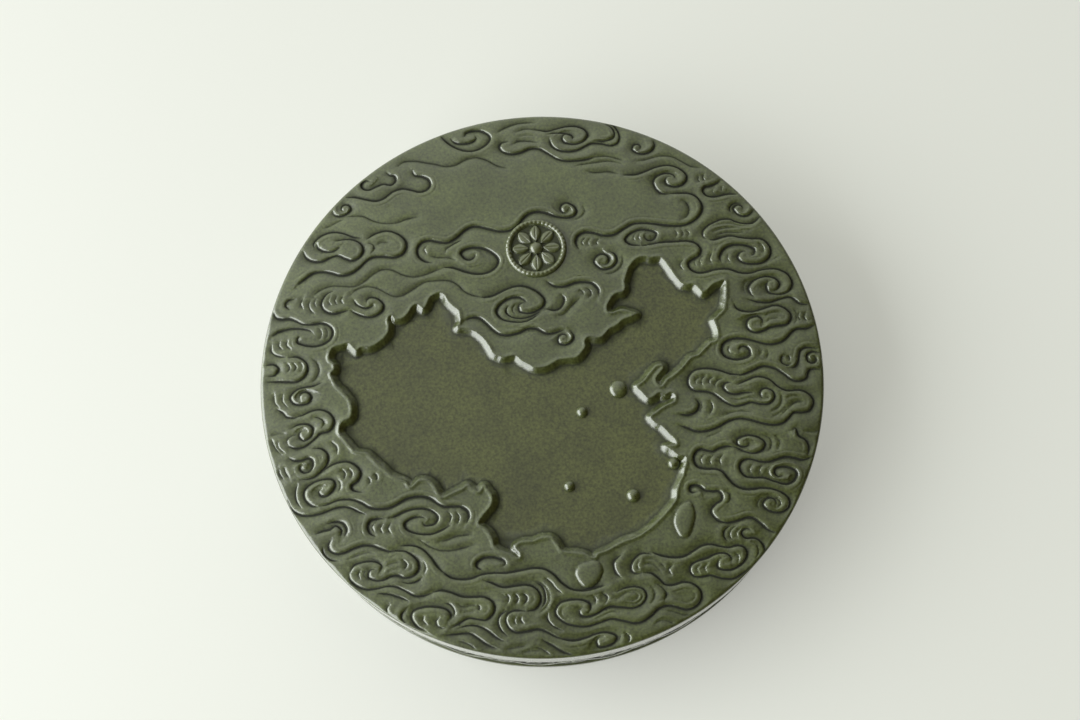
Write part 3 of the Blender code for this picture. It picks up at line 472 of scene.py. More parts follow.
SOUTH_WEST = [
    ("right", [(-102, -58), (-106, -57.3), (-109.3, -54), (-109.3, -50), (-105.5, -46.8), (-100.5, -45.5),
        (-96.6, -46), (-95.4, -48.6), (-97, -51.4), (-99.5, -53.2), (-102, -52.8), (-103, -51),
        (-101.8, -49.8)]),
    ("left", [(-103.5, -57.8), (-99, -57), (-95, -55.6), (-91, -55.2), (-87, -55.8), (-83.5, -57.4),
        (-80.5, -59.3), (-77, -60.3), (-72, -60.3), (-68, -59), (-64, -56.8), (-60, -55.8), (-56, -55.8),
        (-52.5, -57), (-49, -59.8), (-46, -61), (-42.5, -61), (-39, -61.4), (-36.4, -63.2), (-35.7, -66),
        (-37, -69)]),
    ("left", [(-117.5, -53.5), (-115.2, -58.3), (-111, -61), (-106, -61.5), (-101, -60.6), (-96, -59),
        (-91.5, -58.5), (-88, -59.5), (-85, -61.2), (-81.5, -62.8)]),
    ("left", [(-112.5, -46.5), (-113.6, -50.5), (-113, -55), (-110.5, -58.4)]),
    ("right", [(-103, -42.8), (-99.5, -40.6), (-95, -38.5), (-90, -38), (-86, -40), (-83.7, -43.4),
        (-85, -47), (-88, -49.3), (-87, -51.6), (-83, -52.6)]),
    ("left", [(-92.6, -41), (-90.8, -43.6), (-91.8, -46.6)]),
    ("left", [(-89.4, -41), (-87.6, -43.6), (-88.4, -46.4)]),
    ("left", [(-81, -45.4), (-79.6, -47.2), (-80.4, -49.2)]),
    ("left", [(-77.6, -44), (-76.4, -45.6), (-77, -47.6)]),
    ("right", [(-73, -65), (-76.5, -64.8), (-79.5, -65.4), (-81, -68), (-80.3, -71), (-77.5, -73)]),
    ("left", [(-77.6, -66.4), (-79.2, -68.6), (-77.8, -71)]),
    ("left", [(-73.8, -66.6), (-75.4, -69.4), (-74, -72)]),
    ("left", [(-70.4, -66.8), (-72, -69.6), (-70.6, -72)]),
    ("left", [(-72, -65), (-69, -64.2), (-65, -62.5), (-61, -61.4), (-56, -61.3), (-52, -62.7),
        (-49.6, -65.5), (-51, -68.5), (-55, -69.2)], (-54.8, -67), 0.3),
    ("right", [(-54.6, -66.2), (-57.2, -65), (-61, -65.3), (-64.3, -67.5), (-63.5, -70.5), (-59, -72.5),
        (-53, -73), (-48, -71.5), (-44, -69.4)]),
    ("left", [(-45.6, -62.8), (-43.6, -65.6), (-45, -69)]),
    ("left", [(-42, -62.8), (-40, -66), (-41.2, -69.6)]),
    ("right", [(-104.5, -70), (-101, -68.9), (-98, -68.4), (-95.4, -67), (-93, -69), (-93.6, -72)]),
    ("left", [(-99.5, -65.8), (-95.5, -65), (-92, -66), (-90.5, -69), (-91.6, -72)]),
    ("left", [(-97.5, -72.5), (-98.9, -75.5), (-98, -78), (-95, -79.4), (-91, -78.9), (-87, -77.3),
        (-83, -76.4), (-79, -76.8), (-75.5, -78.3), (-72, -79.6), (-68, -79.8)]),
    ("right", [(-101.6, -75.6), (-101.2, -79), (-98, -82), (-94, -82.6)]),
    ("right", [(-72, -79.6), (-68, -79.7), (-64.5, -80.2), (-61.3, -82.2), (-59, -85), (-58.8, -88.4),
        (-61, -91), (-65, -91.8), (-68, -90.6), (-71, -90.7), (-74, -92), (-77.5, -92.3), (-80.8, -91)],
        (-78.8, -89), 0.5),
    ("left", [(-90, -88), (-89.5, -91), (-86.5, -94), (-82, -95.8), (-77, -95.6), (-73, -95), (-69, -95.5),
        (-65, -97.5), (-61, -99.8), (-57, -100), (-52.5, -98.8)]),
    ("right", [(-90, -88.6), (-87.4, -85), (-82.5, -83.7), (-78, -84), (-75.3, -86), (-76.4, -88.8)]),
    ("left", [(-83, -82), (-79, -82.7), (-75, -84.5)]),
    ("left", [(-66, -83.4), (-64, -86), (-65.8, -88.6)]),
    ("left", [(-56.6, -84.6), (-55.6, -88), (-57, -91)]),
    ("soft", [(-62, -73), (-58, -75.5), (-54, -78.4), (-49, -80.5), (-43, -80.7), (-37, -79.5),
        (-33, -78.5)]),
    ("soft", [(-50, -76.5), (-46, -76), (-41, -74.5), (-34, -74)]),
    ("right", [(-68, -77.6), (-61, -77.8), (-56.4, -80), (-53, -83.8), (-50.2, -88), (-47.2, -91.2)]),
    ("right", [(-56.5, -115.4), (-60.4, -113), (-62.6, -109.4), (-61.6, -106.4), (-57, -105), (-51.5, -105.2),
        (-47, -106.6), (-45.1, -109.4), (-46.8, -112)]),
    ("left", [(-50.2, -109.4), (-51.8, -111.4), (-51, -113.7), (-48, -114.9)]),
    ("left", [(-49, -103.2), (-45.4, -104.6), (-43.6, -107.6), (-44.6, -111.2)]),
    ("left", [(-57, -108.6), (-57.6, -110.8), (-55.6, -113)]),
    ("right", [(-64, -104.6), (-66.8, -107.4), (-66.6, -110.4), (-63, -113.4)]),
    ("left", [(-33.4, -105.2), (-32.4, -106.4), (-33, -108)]),
]

WEST = [
    ("left", [(-117, -34.4), (-114, -36), (-110.5, -36), (-107.5, -35.3), (-105.6, -36.8), (-105.7, -39.6),
        (-107.3, -41.6), (-109.6, -41.9), (-111.4, -40.6), (-111.2, -38.6), (-109.8, -38.2)]),
    ("right", [(-106, -31), (-101.5, -31.4), (-98.6, -34.4), (-99, -38.4), (-102, -42), (-106, -44.5),
        (-112, -45)]),
    ("left", [(-97.6, -27.8), (-94.6, -31), (-94.6, -35)]),
    ("left", [(-122.5, -11.3), (-119.6, -13), (-117.4, -15.4), (-114, -16), (-111.5, -15.6)]),
    ("right", [(-114, -16), (-110, -15), (-106, -13.4), (-102, -13), (-98, -14.7), (-95.7, -18), (-96, -21),
        (-98, -23.3), (-102, -24.2), (-104, -26), (-107, -28.4), (-110, -30), (-114, -30.3), (-117, -29)]),
    ("right", [(-116, -21.4), (-112, -19.4), (-108, -19.5), (-105.4, -21.6), (-106, -25), (-109, -27)],
        (-109.6, -24), 0.5),
    ("right", [(-106.4, -16.4), (-102.5, -17), (-100.3, -19.2), (-101.5, -22)]),
    ("left", [(-112, -24), (-115.4, -24.6), (-117.4, -26.6), (-116.6, -29)]),
    ("left", [(-124.8, -25), (-122.6, -30), (-119.8, -33)]),
    ("soft", [(-125, -23.6), (-121, -23), (-117, -23.5)]),
    ("left", [(-101, 0), (-105, -1.5), (-110, -2), (-113, -3), (-115.8, -6), (-114.5, -9), (-111, -10.1),
        (-107.2, -9.3), (-106, -7)], (-109.6, -6.8), 0.6),
    ("left", [(-119, -3.8), (-119.4, -8), (-116, -12)]),
    ("left", [(-123.4, -4), (-123, -8.4), (-120.6, -11)]),
    ("right", [(-117, 13), (-113, 13), (-110, 11.5), (-108, 9), (-107.8, 5.6), (-109.6, 2.7), (-113, 1),
        (-117, 1.3), (-122, 1.8), (-127, 2)]),
    ("left", [(-124.6, 20), (-124.7, 16.5), (-122, 14.2), (-117.5, 13.1)]),
    ("right", [(-127.4, 10), (-123.4, 10), (-121.3, 7.6), (-123, 5), (-126.5, 4.6)]),
    ("left", [(-117.8, 10.6), (-116, 8), (-117.6, 5.4)]),
    ("left", [(-114.6, 10.2), (-113, 8), (-114.6, 5.6)]),
    ("soft", [(-107, 12.6), (-103.6, 9.6), (-102.5, 5.6), (-104, 2), (-107, -1)]),
    ("left", [(-124.4, 36), (-122.6, 33), (-119.5, 32), (-116, 31.9), (-113, 30.4), (-110, 28.8),
        (-106, 28.3), (-102, 28.7), (-99, 28), (-96.6, 26), (-95.8, 23.4), (-97, 20.5), (-100, 18.4),
        (-104, 17.5), (-108, 18), (-112, 19.5)], (-110.4, 21.4), 0.4),
    ("left", [(-124.5, 24), (-121, 26), (-116, 27), (-111, 26.7), (-107, 25.6), (-105, 23.8)]),
    ("left", [(-120.6, 21.4), (-121.2, 19), (-119, 16.4)]),
    ("left", [(-117, 21.6), (-117.6, 19), (-115.2, 16.6)]),
    ("left", [(-88, 34.6), (-84.4, 32.2), (-80, 30.5), (-76, 30.8), (-72.6, 33), (-72, 36), (-74.5, 39),
        (-77.6, 40)], (-78, 37.2), 0.4),
    ("left", [(-86.3, 39.6), (-84.3, 36.6), (-81, 35), (-78, 35.3), (-76.4, 36.9)]),
    ("right", [(-88, 34.4), (-92, 33.5), (-95.5, 33), (-99, 34.3), (-101, 37), (-100.6, 40), (-98.5, 43),
        (-95, 44.5)]),
    ("left", [(-96.4, 42.4), (-97.7, 39.4), (-96.2, 36.2)]),
    ("left", [(-93.4, 42), (-94.8, 39.4), (-93.4, 36.8)]),
    ("left", [(-90.6, 41.6), (-92, 39.4), (-90.8, 37.2)]),
    ("right", [(-113, 41.8), (-117, 41), (-118.2, 38.4), (-116, 36)]),
    ("left", [(-109.4, 42), (-110.9, 39), (-109.6, 35.8)]),
]

# Ribs inside the scrolls and the tails that run between them
RIBS = [
    ("left", [(-121.6, -26.5), (-121.2, -29.5), (-118.2, -32.5)]),
    ("left", [(-118.6, -38.6), (-118.2, -41), (-116.4, -44)]),
    ("left", [(-121, -39.4), (-120.8, -41.6), (-119, -44.4)]),
    ("left", [(-95.4, -45.4), (-93.4, -47.2), (-93.2, -49.8), (-94.8, -52.2)]),
    ("left", [(-103.2, 41.6), (-104.4, 39), (-103.4, 36)]),
    ("left", [(-103.4, 27), (-101.4, 25), (-101.2, 22.4), (-102.8, 20)]),
    ("left", [(-100.4, 27), (-98.6, 25), (-98.4, 22.6), (-100, 20.2)]),
    ("left", [(-111.6, 10.8), (-110, 8), (-111.4, 4.8)]),
    ("soft", [(-101, 76.4), (-97, 77.6), (-93, 79.6), (-89, 81)]),
    ("soft", [(-75.5, 65.6), (-72.4, 67.4), (-68.6, 67)]),
    ("right", [(-12.6, 33.4), (-14.8, 31), (-14.6, 28.4), (-11.5, 26.4), (-7, 25.9), (-2, 27.2), (3, 30.2)]),
    ("right", [(-9.6, 33.6), (-11.8, 31.4), (-11.8, 29.2), (-9.6, 27.6)]),
    ("left", [(47.6, 65.4), (46.8, 63), (47.8, 61)]),
    ("left", [(50, 65.6), (49.2, 63.2), (50.2, 61)]),
    ("soft", [(40.6, 55), (40.8, 51.4), (38.8, 47.8), (35, 46), (31, 46)]),
    ("soft", [(26, 98.6), (31, 97.6), (37, 97.8), (42, 96.2)]),
    ("left", [(80.6, 94), (79.8, 91.8), (80.8, 89.8)]),
    ("left", [(83, 94.6), (82.2, 92.6), (83, 90.4)]),
    ("left", [(87, 87), (86.2, 85.2), (87, 83.4)]),
    ("left", [(91.4, 88), (90.6, 86), (91.2, 84.4)]),
    ("left", [(94.6, 72.8), (93.4, 75), (94.2, 77.4), (96.8, 78.8), (99.6, 78.2)]),
    ("soft", [(83, 66.6), (88, 67.8), (93, 68), (98, 66.8), (103, 66.4)]),
    ("soft", [(96.8, 64.6), (100, 64.4), (103.6, 64.6)]),
    ("left", [(71, 66.4), (73, 63.8), (71.4, 61.4)]),
    ("left", [(68.8, 66.6), (70.4, 63.9), (68.8, 61.4)]),
    ("left", [(79, 53), (77, 50.2), (77.8, 47)]),
    ("left", [(76, 51.6), (74.4, 49.4), (75.4, 46.6)]),
    ("left", [(105.4, 58), (107.6, 55.4), (107.4, 52)]),
    ("soft", [(101, 39.6), (97.4, 37.6), (96.4, 34), (97.8, 31)]),
    ("soft", [(104, 20.4), (107, 22), (111, 22.6), (114, 21.6)]),
    ("left", [(121.6, 22.6), (120.6, 20.4), (121.8, 18)]),
    ("left", [(124.4, 22), (123.4, 20), (124.6, 17.6)]),
    ("soft", [(117.4, 25.2), (119.6, 22.4), (119.4, 18.4), (116.8, 15.4)]),
    ("left", [(87.8, 8), (86.6, 5.4), (87.8, 2.8)]),
    ("soft", [(99, 7.6), (101.6, 4.6), (100.4, 1.4)]),
    ("soft", [(103.4, 6), (104.8, 3), (103.2, -0.6)]),
    ("left", [(113.8, 1.6), (114.6, 0), (114, -1.8)]),
    ("left", [(84.4, -8), (80.8, -8.8), (79, -11), (79.8, -13.6)]),
    ("left", [(76, -6), (73.6, -7.6), (73, -10), (74, -12.4)]),
    ("soft", [(86, -8.2), (91, -8.6), (96, -6.8)]),
    ("soft", [(84.6, -17.4), (89, -18.6), (94, -17.8), (98.6, -18.6)]),
    ("soft", [(110.4, -19), (114, -18), (118.4, -18.4)]),
    ("soft", [(104, -27.6), (108.4, -24.8), (111.6, -21.6)]),
    ("soft", [(80, -26.4), (85, -24.6), (90, -24), (95, -25)]),
    ("soft", [(72, -35.4), (77, -34), (82, -31.6)]),
    ("soft", [(97, -35), (101.6, -37.2), (102, -40.8), (99.4, -44)]),
    ("soft", [(104, -35.6), (106, -39), (104.6, -43)]),
    ("left", [(102, -49.6), (99.8, -52), (100.6, -55)]),
    ("soft", [(99, -63.4), (95, -64.6), (93.4, -67.6), (95, -70.6)]),
    ("left", [(99, -64.4), (102.4, -64.8), (104, -67), (102.6, -69)]),
    ("left", [(85.6, -77), (83, -79.4), (83.6, -82.6)]),
    ("right", [(88.6, -83.4), (91.4, -85.2), (92, -88.4), (90.4, -91)]),
    ("left", [(66.4, -92.4), (64.2, -94.4), (65.4, -97)]),
    ("left", [(70, -91.6), (67.6, -94), (68.6, -96.8)]),
    ("left", [(80.6, -87.6), (83, -89.6), (82.6, -92.8)]),
    ("soft", [(40.4, -89.4), (44.6, -89.2), (48.4, -91.4), (50.6, -95)]),
    ("soft", [(39.6, -91.6), (43.6, -91.2), (46.8, -93.4), (48.8, -96.4)]),
    ("left", [(39.4, -89.2), (38, -91.6), (38.8, -94.2)]),
    ("right", [(44.6, -99.6), (47.6, -101.6), (49.8, -104.6), (48.6, -108)]),
    ("soft", [(42.6, -100.4), (44.6, -103.4), (44, -107), (41, -109.6)]),
    ("soft", [(27.4, -106.4), (30.6, -104.2), (34.6, -102.6), (38.4, -103.6), (39, -106), (36, -108.2),
        (30, -107.8)]),
    ("left", [(17, -103.6), (18.6, -105.6), (18, -108.4)]),
    ("soft", [(6, -107.4), (3.4, -109.4), (4, -112.4), (8, -114.4)]),
    ("soft", [(15, -114.6), (20, -113.2), (25, -111.4), (30, -111.8)]),
    ("left", [(-3.4, -94.8), (-0.6, -97.2), (1.4, -100), (4.6, -102.8)]),
    ("soft", [(48, -111.6), (52, -112.4), (57, -114.2), (61, -114)]),
    ("soft", [(-43, -104), (-39.6, -105.8), (-35.6, -105.4), (-32.6, -106.4)]),
    ("soft", [(-41, -108.4), (-37.4, -108.2), (-34, -107.8)]),
    ("soft", [(-30, -98.6), (-26, -99.6), (-22, -101.6), (-20, -104)]),
    ("left", [(-21, -100.8), (-19.4, -103), (-20.4, -106)]),
    ("left", [(-8, -96.6), (-4.6, -98.6), (-3.4, -102), (-3.6, -105.6), (-6, -108.8)]),
    ("left", [(-16.2, -110.8), (-17.4, -112.8), (-16.6, -115.2)]),
    ("soft", [(-15, -127), (-11, -126.2), (-6, -126.6)]),
    ("soft", [(-74, -86.4), (-70, -85), (-66.6, -84.8)]),
    ("soft", [(-74, -89.4), (-70, -88), (-66, -88)]),
    ("soft", [(-72, -82.6), (-68, -81.6), (-64.6, -83)]),
    ("left", [(-81.6, -87), (-83.2, -89), (-82.2, -91.6)]),
    ("left", [(-83.8, -86.8), (-85.6, -89), (-84.6, -91.8)]),
    ("soft", [(-91, -82.4), (-87, -81), (-82, -79.8), (-77, -80.4)]),
    ("left", [(-68, -92.8), (-63.6, -94.2), (-59.4, -93.4), (-57, -91.4)]),
    ("left", [(-71.6, -102.4), (-73.4, -104.6), (-72.8, -107.2), (-70.4, -109)]),
    ("left", [(-78, -97.8), (-72.6, -98.4), (-67.4, -100.2), (-63, -102.4)]),
    ("soft", [(-9, 114.6), (-5, 116.4), (0, 116), (5, 114.4)]),
    ("soft", [(-6, 118.6), (-1, 119.6), (4, 118.4)]),
    ("soft", [(-16, 121.4), (-11, 124.4), (-4, 126.4), (4, 126.2)]),
    ("soft", [(20, 101.6), (26, 102.4), (32, 103), (38, 103.4), (44, 101.6)]),
]

CLOUDS = NORTH_WEST + NORTH + NORTH_EAST + EAST + SOUTH_EAST + SOUTH + SOUTH_WEST + WEST + RIBS


def smooth_path(points, closed=False):
    """Evenly spaced points along a smooth curve through the given ones."""
    corners = np.array(points, float)
    if closed:
        corners = np.vstack([corners[-1:], corners, corners[:2]])
    else:
        corners = np.vstack([2 * corners[0] - corners[1], corners, 2 * corners[-1] - corners[-2]])
    steps = np.linspace(0, 1, SPAN_STEPS, endpoint=False)[:, None]
    spans = []
    for before, start, end, after in zip(corners, corners[1:], corners[2:], corners[3:]):
        bend = 2 * before - 5 * start + 4 * end - after
        twist = 3 * start - before - 3 * end + after
        spans.append(start + 0.5 * (steps * (end - before) + steps**2 * bend + steps**3 * twist))
    dense = np.vstack(spans + [corners[-2:-1]])
    run = np.concatenate([[0], np.cumsum(np.linalg.norm(np.diff(dense, axis=0), axis=1))])
    even = np.linspace(0, run[-1], max(int(run[-1] / PATH_STEP), 4))
    return np.column_stack([np.interp(even, run, dense[:, axis]) for axis in (0, 1)])


def curl_round(points, eye, turns):
    """Adds to a line a curl that winds in round an eye, on the side that the line already bends to."""
    last, previous = np.array(points[-1], float), np.array(points[-2], float)
    spoke = last - eye
    heading = last - previous
    way = np.sign(spoke[0] * heading[1] - spoke[1] * heading[0])
    start = math.atan2(spoke[1], spoke[0])
    curl = []
    for step in range(1, max(int(turns * CURL_STEPS), 3) + 1):
        wound = step / CURL_STEPS
        reach = np.hypot(*spoke) * EYE_SHRINK**wound
        angle = start + way * 2 * math.pi * wound
        curl.append((eye[0] + reach * math.cos(angle), eye[1] + reach * math.sin(angle)))
    return list(points) + curl


class Relief:
    """Heights in millimetres over a square of small cells."""

    def __init__(self):
        self.low = -RADIUS - 2.0
        self.count = int(-2 * self.low / RASTER_CELL) + 1
        self.axis = self.low + RASTER_CELL * np.arange(self.count)
        self.cut = np.zeros((self.count, self.count))
        self.swell = np.zeros((self.count, self.count))
        self.line_ink_and_shade = np.zeros((self.count, self.count))

    def span(self, low, high):
        """Rows and columns of the cells between two corners."""
        first = np.clip((low - self.low) / RASTER_CELL, 0, self.count - 1).astype(int)
        last = np.clip((high - self.low) / RASTER_CELL + 2, 1, self.count).astype(int)
        return slice(first[1], last[1]), slice(first[0], last[0])

    def near(self, path, reach):
        """Cells round a path: their place, their distance, positive on its left, and its nearest point."""
        place = self.span(path.min(0) - reach, path.max(0) + reach)
        up, across = self.axis[place[0]], self.axis[place[1]]
        nearest = np.full((len(up), len(across)), reach**2)
        index = np.zeros(nearest.shape, int)
        for number, point in enumerate(path):
            rows, columns = self.span(point - reach, point + reach)
            rows = slice(rows.start - place[0].start, rows.stop - place[0].start)
            columns = slice(columns.start - place[1].start, columns.stop - place[1].start)
            square = (up[rows, None] - point[1]) ** 2 + (across[columns] - point[0]) ** 2
            closer = square < nearest[rows, columns]
            nearest[rows, columns][closer] = square[closer]
            index[rows, columns][closer] = number
        ahead = np.gradient(path, axis=0)[index]
        side = ahead[..., 0] * (up[:, None] - path[index, 1]) - ahead[..., 1] * (across - path[index, 0])
        return place, np.sqrt(nearest) * np.where(side < 0, -1, 1), index

    def carve(self, kind, path):
        """Cuts one cloud line, steep under its proud side or soft on both, and lays ink and painted shade
        along it.
        """
        place, away, index = self.near(path, CUT_REACH)
        fine = np.clip(len(path) * PATH_STEP / FINE_LENGTH, FINEST, 1)
        strength = fine * ends_fade(path)[index] * (1 - (away / CUT_REACH) ** 2)
        away = away / fine
        # Ink and painted shade along the bottom of the line
        line_ink_and_shade = strength * np.exp(-((away / CUT_INK_AND_SHADE_WIDTH) ** 2))
        if kind == "soft":
            line_ink_and_shade = SOFT_INK_AND_SHADE * line_ink_and_shade
            groove = SOFT_DEPTH * eased(np.abs(away), SOFT_EDGE, SOFT_WIDTH)
        else:
            away = -away if kind == "right" else away
            wall = np.maximum(1 - np.maximum(away, 0) / CUT_WALL, 0) ** CUT_WALL_BEND
            slope = eased(np.maximum(-away, 0), CUT_EDGE, CUT_SLOPE)
            echo = ECHO_DEPTH * np.exp(-(((away - ECHO_AWAY) / ECHO_WIDTH) ** 2))
            groove = CUT_DEPTH * np.where(away > 0, wall, slope) + echo * (fine == 1)
            crest = np.where(away > 0, np.exp(-(((away - SWELL_AWAY) / SWELL_WIDTH) ** 2)), 0)
            self.swell[place] = np.maximum(self.swell[place], CUT_SWELL * strength * crest)
        self.line_ink_and_shade[place] = np.maximum(self.line_ink_and_shade[place], line_ink_and_shade)
        self.cut[place] = np.minimum(self.cut[place], -groove * strength)

    def ridge(self, path, half_width, rise):
        """Raises a rounded cord along a path."""
        place, away, _ = self.near(path, half_width)
        crown = rise * np.sqrt(np.maximum(1 - (away / half_width) ** 2, 0))
        self.swell[place] = np.maximum(self.swell[place], crown)

    def depth_inside(self, outline, reach):
        """Distance in from a closed outline, negative outside it, up to a reach."""
        path = smooth_path(outline, closed=True)
        place, away, _ = self.near(path, reach)
        depth = np.full((self.count, self.count), reach)
        depth[place] = np.abs(away)
        inside = np.zeros(depth.shape, bool)
        for (x0, y0), (x1, y1) in zip(path, np.roll(path, -1, axis=0)):
            rows = np.nonzero((self.axis >= min(y0, y1)) & (self.axis < max(y0, y1)))[0]
            if len(rows):
                cross = x0 + (self.axis[rows] - y0) / (y1 - y0) * (x1 - x0)
                inside[rows] ^= self.axis < cross[:, None]
        return np.where(inside, depth, -depth)

    def at(self, field, x, y):
        """Values of a field at points in millimetres, read between its cells."""
        u = np.clip((x - self.low) / RASTER_CELL, 0, self.count - 1.001)
        v = np.clip((y - self.low) / RASTER_CELL, 0, self.count - 1.001)
        i, j = u.astype(int), v.astype(int)
        u, v = u - i, v - j
        lower = field[j, i] * (1 - u) + field[j, i + 1] * u
        upper = field[j + 1, i] * (1 - u) + field[j + 1, i + 1] * u
        return lower * (1 - v) + upper * v


def eased(away, edge, slope):
    """Depth of a cut at a distance from its line: a sharp edge that eases into a slope."""
    long = np.exp(-((away / slope) ** CUT_SLOPE_BEND))
    return CUT_EDGE_SHARE * np.exp(-away / edge) + (1 - CUT_EDGE_SHARE) * long


def ends_fade(path):
    """Strength along a line, which starts and ends at a shallow cut."""
    run = np.arange(len(path)) * PATH_STEP
    reach = min(CUT_FADE, run[-1] / 4)
    inward = np.clip(np.minimum(run, run[-1] - run) / reach, 0, 1)
    return END_SHARE + (1 - END_SHARE) * inward**END_BEND


def soft_noise(count, waver):
    """Smooth random heights, up and down by a given height, in bumps of about a given size."""
    height, size_mm, seed = waver
    place = np.arange(count) * RASTER_CELL / size_mm
    whole = place.astype(int)
    part = place - whole
    part = part * part * (3 - 2 * part)
    knots = np.random.default_rng(seed).uniform(-1, 1, (whole[-1] + 2,) * 2)
    rows = knots[whole] * (1 - part[:, None]) + knots[whole + 1] * part[:, None]
    return height * (rows[:, whole] * (1 - part) + rows[:, whole + 1] * part)


def blurred(field, size_mm):
    """A field averaged over squares of about the given size, three times."""
    reach = int(size_mm / RASTER_CELL / 2)
    for axis in (0, 1) * 3:
        padded = np.pad(field, [(reach + 1, reach) if n == axis else (0, 0) for n in (0, 1)], mode="edge")
        total = np.cumsum(padded, axis=axis)
        width = 2 * reach + 1
        high = np.take(total, np.arange(width, total.shape[axis]), axis=axis)
        low = np.take(total, np.arange(total.shape[axis] - width), axis=axis)
        field = (high - low) / width
    return field


def carve_face():
    """The carved face: cloud lines, islands, then the pool through them, and the ink, wear, painted shade and
    painted highlight that follow its hollows and ridges.
    """
    relief = Relief()
    for kind, points, *curl in CLOUDS:
        relief.carve(kind, smooth_path(curl_round(points, *curl) if curl else points))
    height = relief.cut + relief.swell
    height += soft_noise(relief.count, FIELD_WAVER)
    # Ink and painted shade along the lines, painted shade where the stone is lower than round about, and wear
    # with a painted highlight where it is higher
    cuts = CUT_INK_AND_SHADE * relief.line_ink_and_shade + RELIEF_SHADE_AND_HIGHLIGHT * (blurred(height, HOLLOW_SIZE) - height)
    for outline in ISLANDS:
        deep = relief.depth_inside(outline, CUT_REACH)
        rise = ISLAND_RISE * (1 - np.exp(-np.maximum(deep, 0) / ISLAND_ROUND)) - ISLAND_SINK
        moat = -MOAT_DEPTH * np.exp(-np.maximum(-deep, 0) / MOAT_WIDTH)
        height = np.where(deep > 0, rise, height + moat)
        # Painted shade in each island's moat
        cuts = np.where(deep > 0, 0, cuts - RELIEF_SHADE_AND_HIGHLIGHT * moat)
    deep = relief.depth_inside(POOL_OUTLINE, POOL_REACH)
    deep += soft_noise(relief.count, EDGE_WAVER) + soft_noise(relief.count, EDGE_CHIPS)
    sunk = np.clip(deep / WALL_RUN, 0, 1)
    wall = -POOL_DEPTH * sunk**WALL_BEND
    lip = LIP_RISE * np.exp(-(((deep + LIP_AWAY) / LIP_WIDTH) ** 2))
    floor = soft_noise(relief.count, FLOOR_WAVER) * sunk
    height *= np.clip(-deep / CUT_CLEAR, 0, 1)
    relief.height = np.where(deep > 0, wall + floor, height) + lip
    relief.pool = np.clip(deep / WALL_RUN - 0.5, 0, 1)
    relief.wall = np.clip(3 * np.minimum(sunk, 1 - sunk), 0, 1)
    # Ink and painted shade along the pool's foot, and wear with a painted highlight on its wall
    foot_ink_and_shade = np.exp(-(((deep - WALL_RUN + FOOT_INK_AND_SHADE_CLIMB) / FOOT_INK_AND_SHADE_WIDTH) ** 2))
    pool_ink_wear_and_light = FOOT_INK_AND_SHADE * foot_ink_and_shade - WALL_WEAR_AND_HIGHLIGHT * relief.wall
    relief.hollow = np.where(deep > 0, pool_ink_wear_and_light, cuts)
    return relief


def carve_frieze():
    """One length of the side's running scroll and its curls, as heights over the sunk band."""
    relief = Relief()
    length = 2 * math.pi * RADIUS / SCROLL_WAVES
    along = np.arange(-1.5 * length, 1.5 * length, PATH_STEP)
    swing = SCROLL_SWING * np.sin(2 * math.pi * along / length)
    relief.ridge(np.column_stack([along, swing]), SCROLL_RIDGE, SCROLL_RISE)
    for shift in (-length, 0, length):
        for way in (-1, 1):
            hook = [(shift + way * x, way * z) for x, z in SCROLL_HOOK]
            eye = (shift + way * SCROLL_EYE[0], way * SCROLL_EYE[1])
            path = smooth_path(curl_round(hook, eye, SCROLL_TURNS))
            relief.ridge(path, CURL_SHARE * SCROLL_RIDGE, CURL_SHARE * SCROLL_RISE)
    relief.height = relief.swell
    # Painted shade in the band's hollows, and wear with a painted highlight on its raised scroll
    relief.hollow = blurred(relief.height, BAND_HOLLOW_SIZE) - relief.height
    return relief, length


def settle(bm):
    """Sorts edges and faces by their corners, because extruding makes them in a new order each run."""
    bm.verts.index_update()
    count = len(bm.verts)

    def rank(item):
        corners = [vert.index for vert in item.verts]
        return min(corners) * count + max(corners) + sum(corners) / (len(corners) * count)

    bm.edges.sort(key=rank)
    bm.faces.sort(key=rank)


def new_piece(name, bm, nodes, finish):
    """Makes a mesh into a piece of the object that stands for the named CAD nodes."""
    settle(bm)
    bmesh.ops.recalc_face_normals(bm, faces=bm.faces)
    mesh = bpy.data.meshes.new(name)
    bm.to_mesh(mesh)
    bm.free()
    mesh.shade_smooth()
    mesh.materials.append(finish)
    piece = bpy.data.objects.new(name, mesh)
    bpy.context.scene.collection.objects.link(piece)
    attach(piece, "root")
    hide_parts(*nodes)
    return piece


def turned(profile, segments, place=(0, 0)):
    """A closed turned form from (radius, height) points in millimetres, from its crown to its base."""
    bm = bmesh.new()
    (radius, height), *others = profile
    bmesh.ops.create_circle(bm, cap_ends=True, cap_tris=True, segments=segments, radius=radius)
    bmesh.ops.translate(bm, verts=bm.verts, vec=(0, 0, height))
    rim = [edge for edge in bm.edges if edge.is_boundary]
    for wide, level in others:
        grown = bmesh.ops.extrude_edge_only(bm, edges=rim)["geom"]
        ring = [item for item in grown if isinstance(item, bmesh.types.BMVert)]
        for vert in ring:
            vert.co = (vert.co.x * wide / radius, vert.co.y * wide / radius, level)
        rim = [item for item in grown if isinstance(item, bmesh.types.BMEdge) and item.is_boundary]
        radius = wide
    bmesh.ops.holes_fill(bm, edges=rim, sides=0)
    bmesh.ops.scale(bm, verts=bm.verts, vec=(MM, MM, MM))
    bmesh.ops.translate(bm, verts=bm.verts, vec=(place[0] * MM, place[1] * MM, 0))
    return bm


def coordinates(mesh):
    """Places of a mesh's vertices in millimetres, one row each."""
    flat = np.empty(len(mesh.vertices) * 3)
    mesh.vertices.foreach_get("co", flat)
    return flat.reshape(-1, 3) / MM


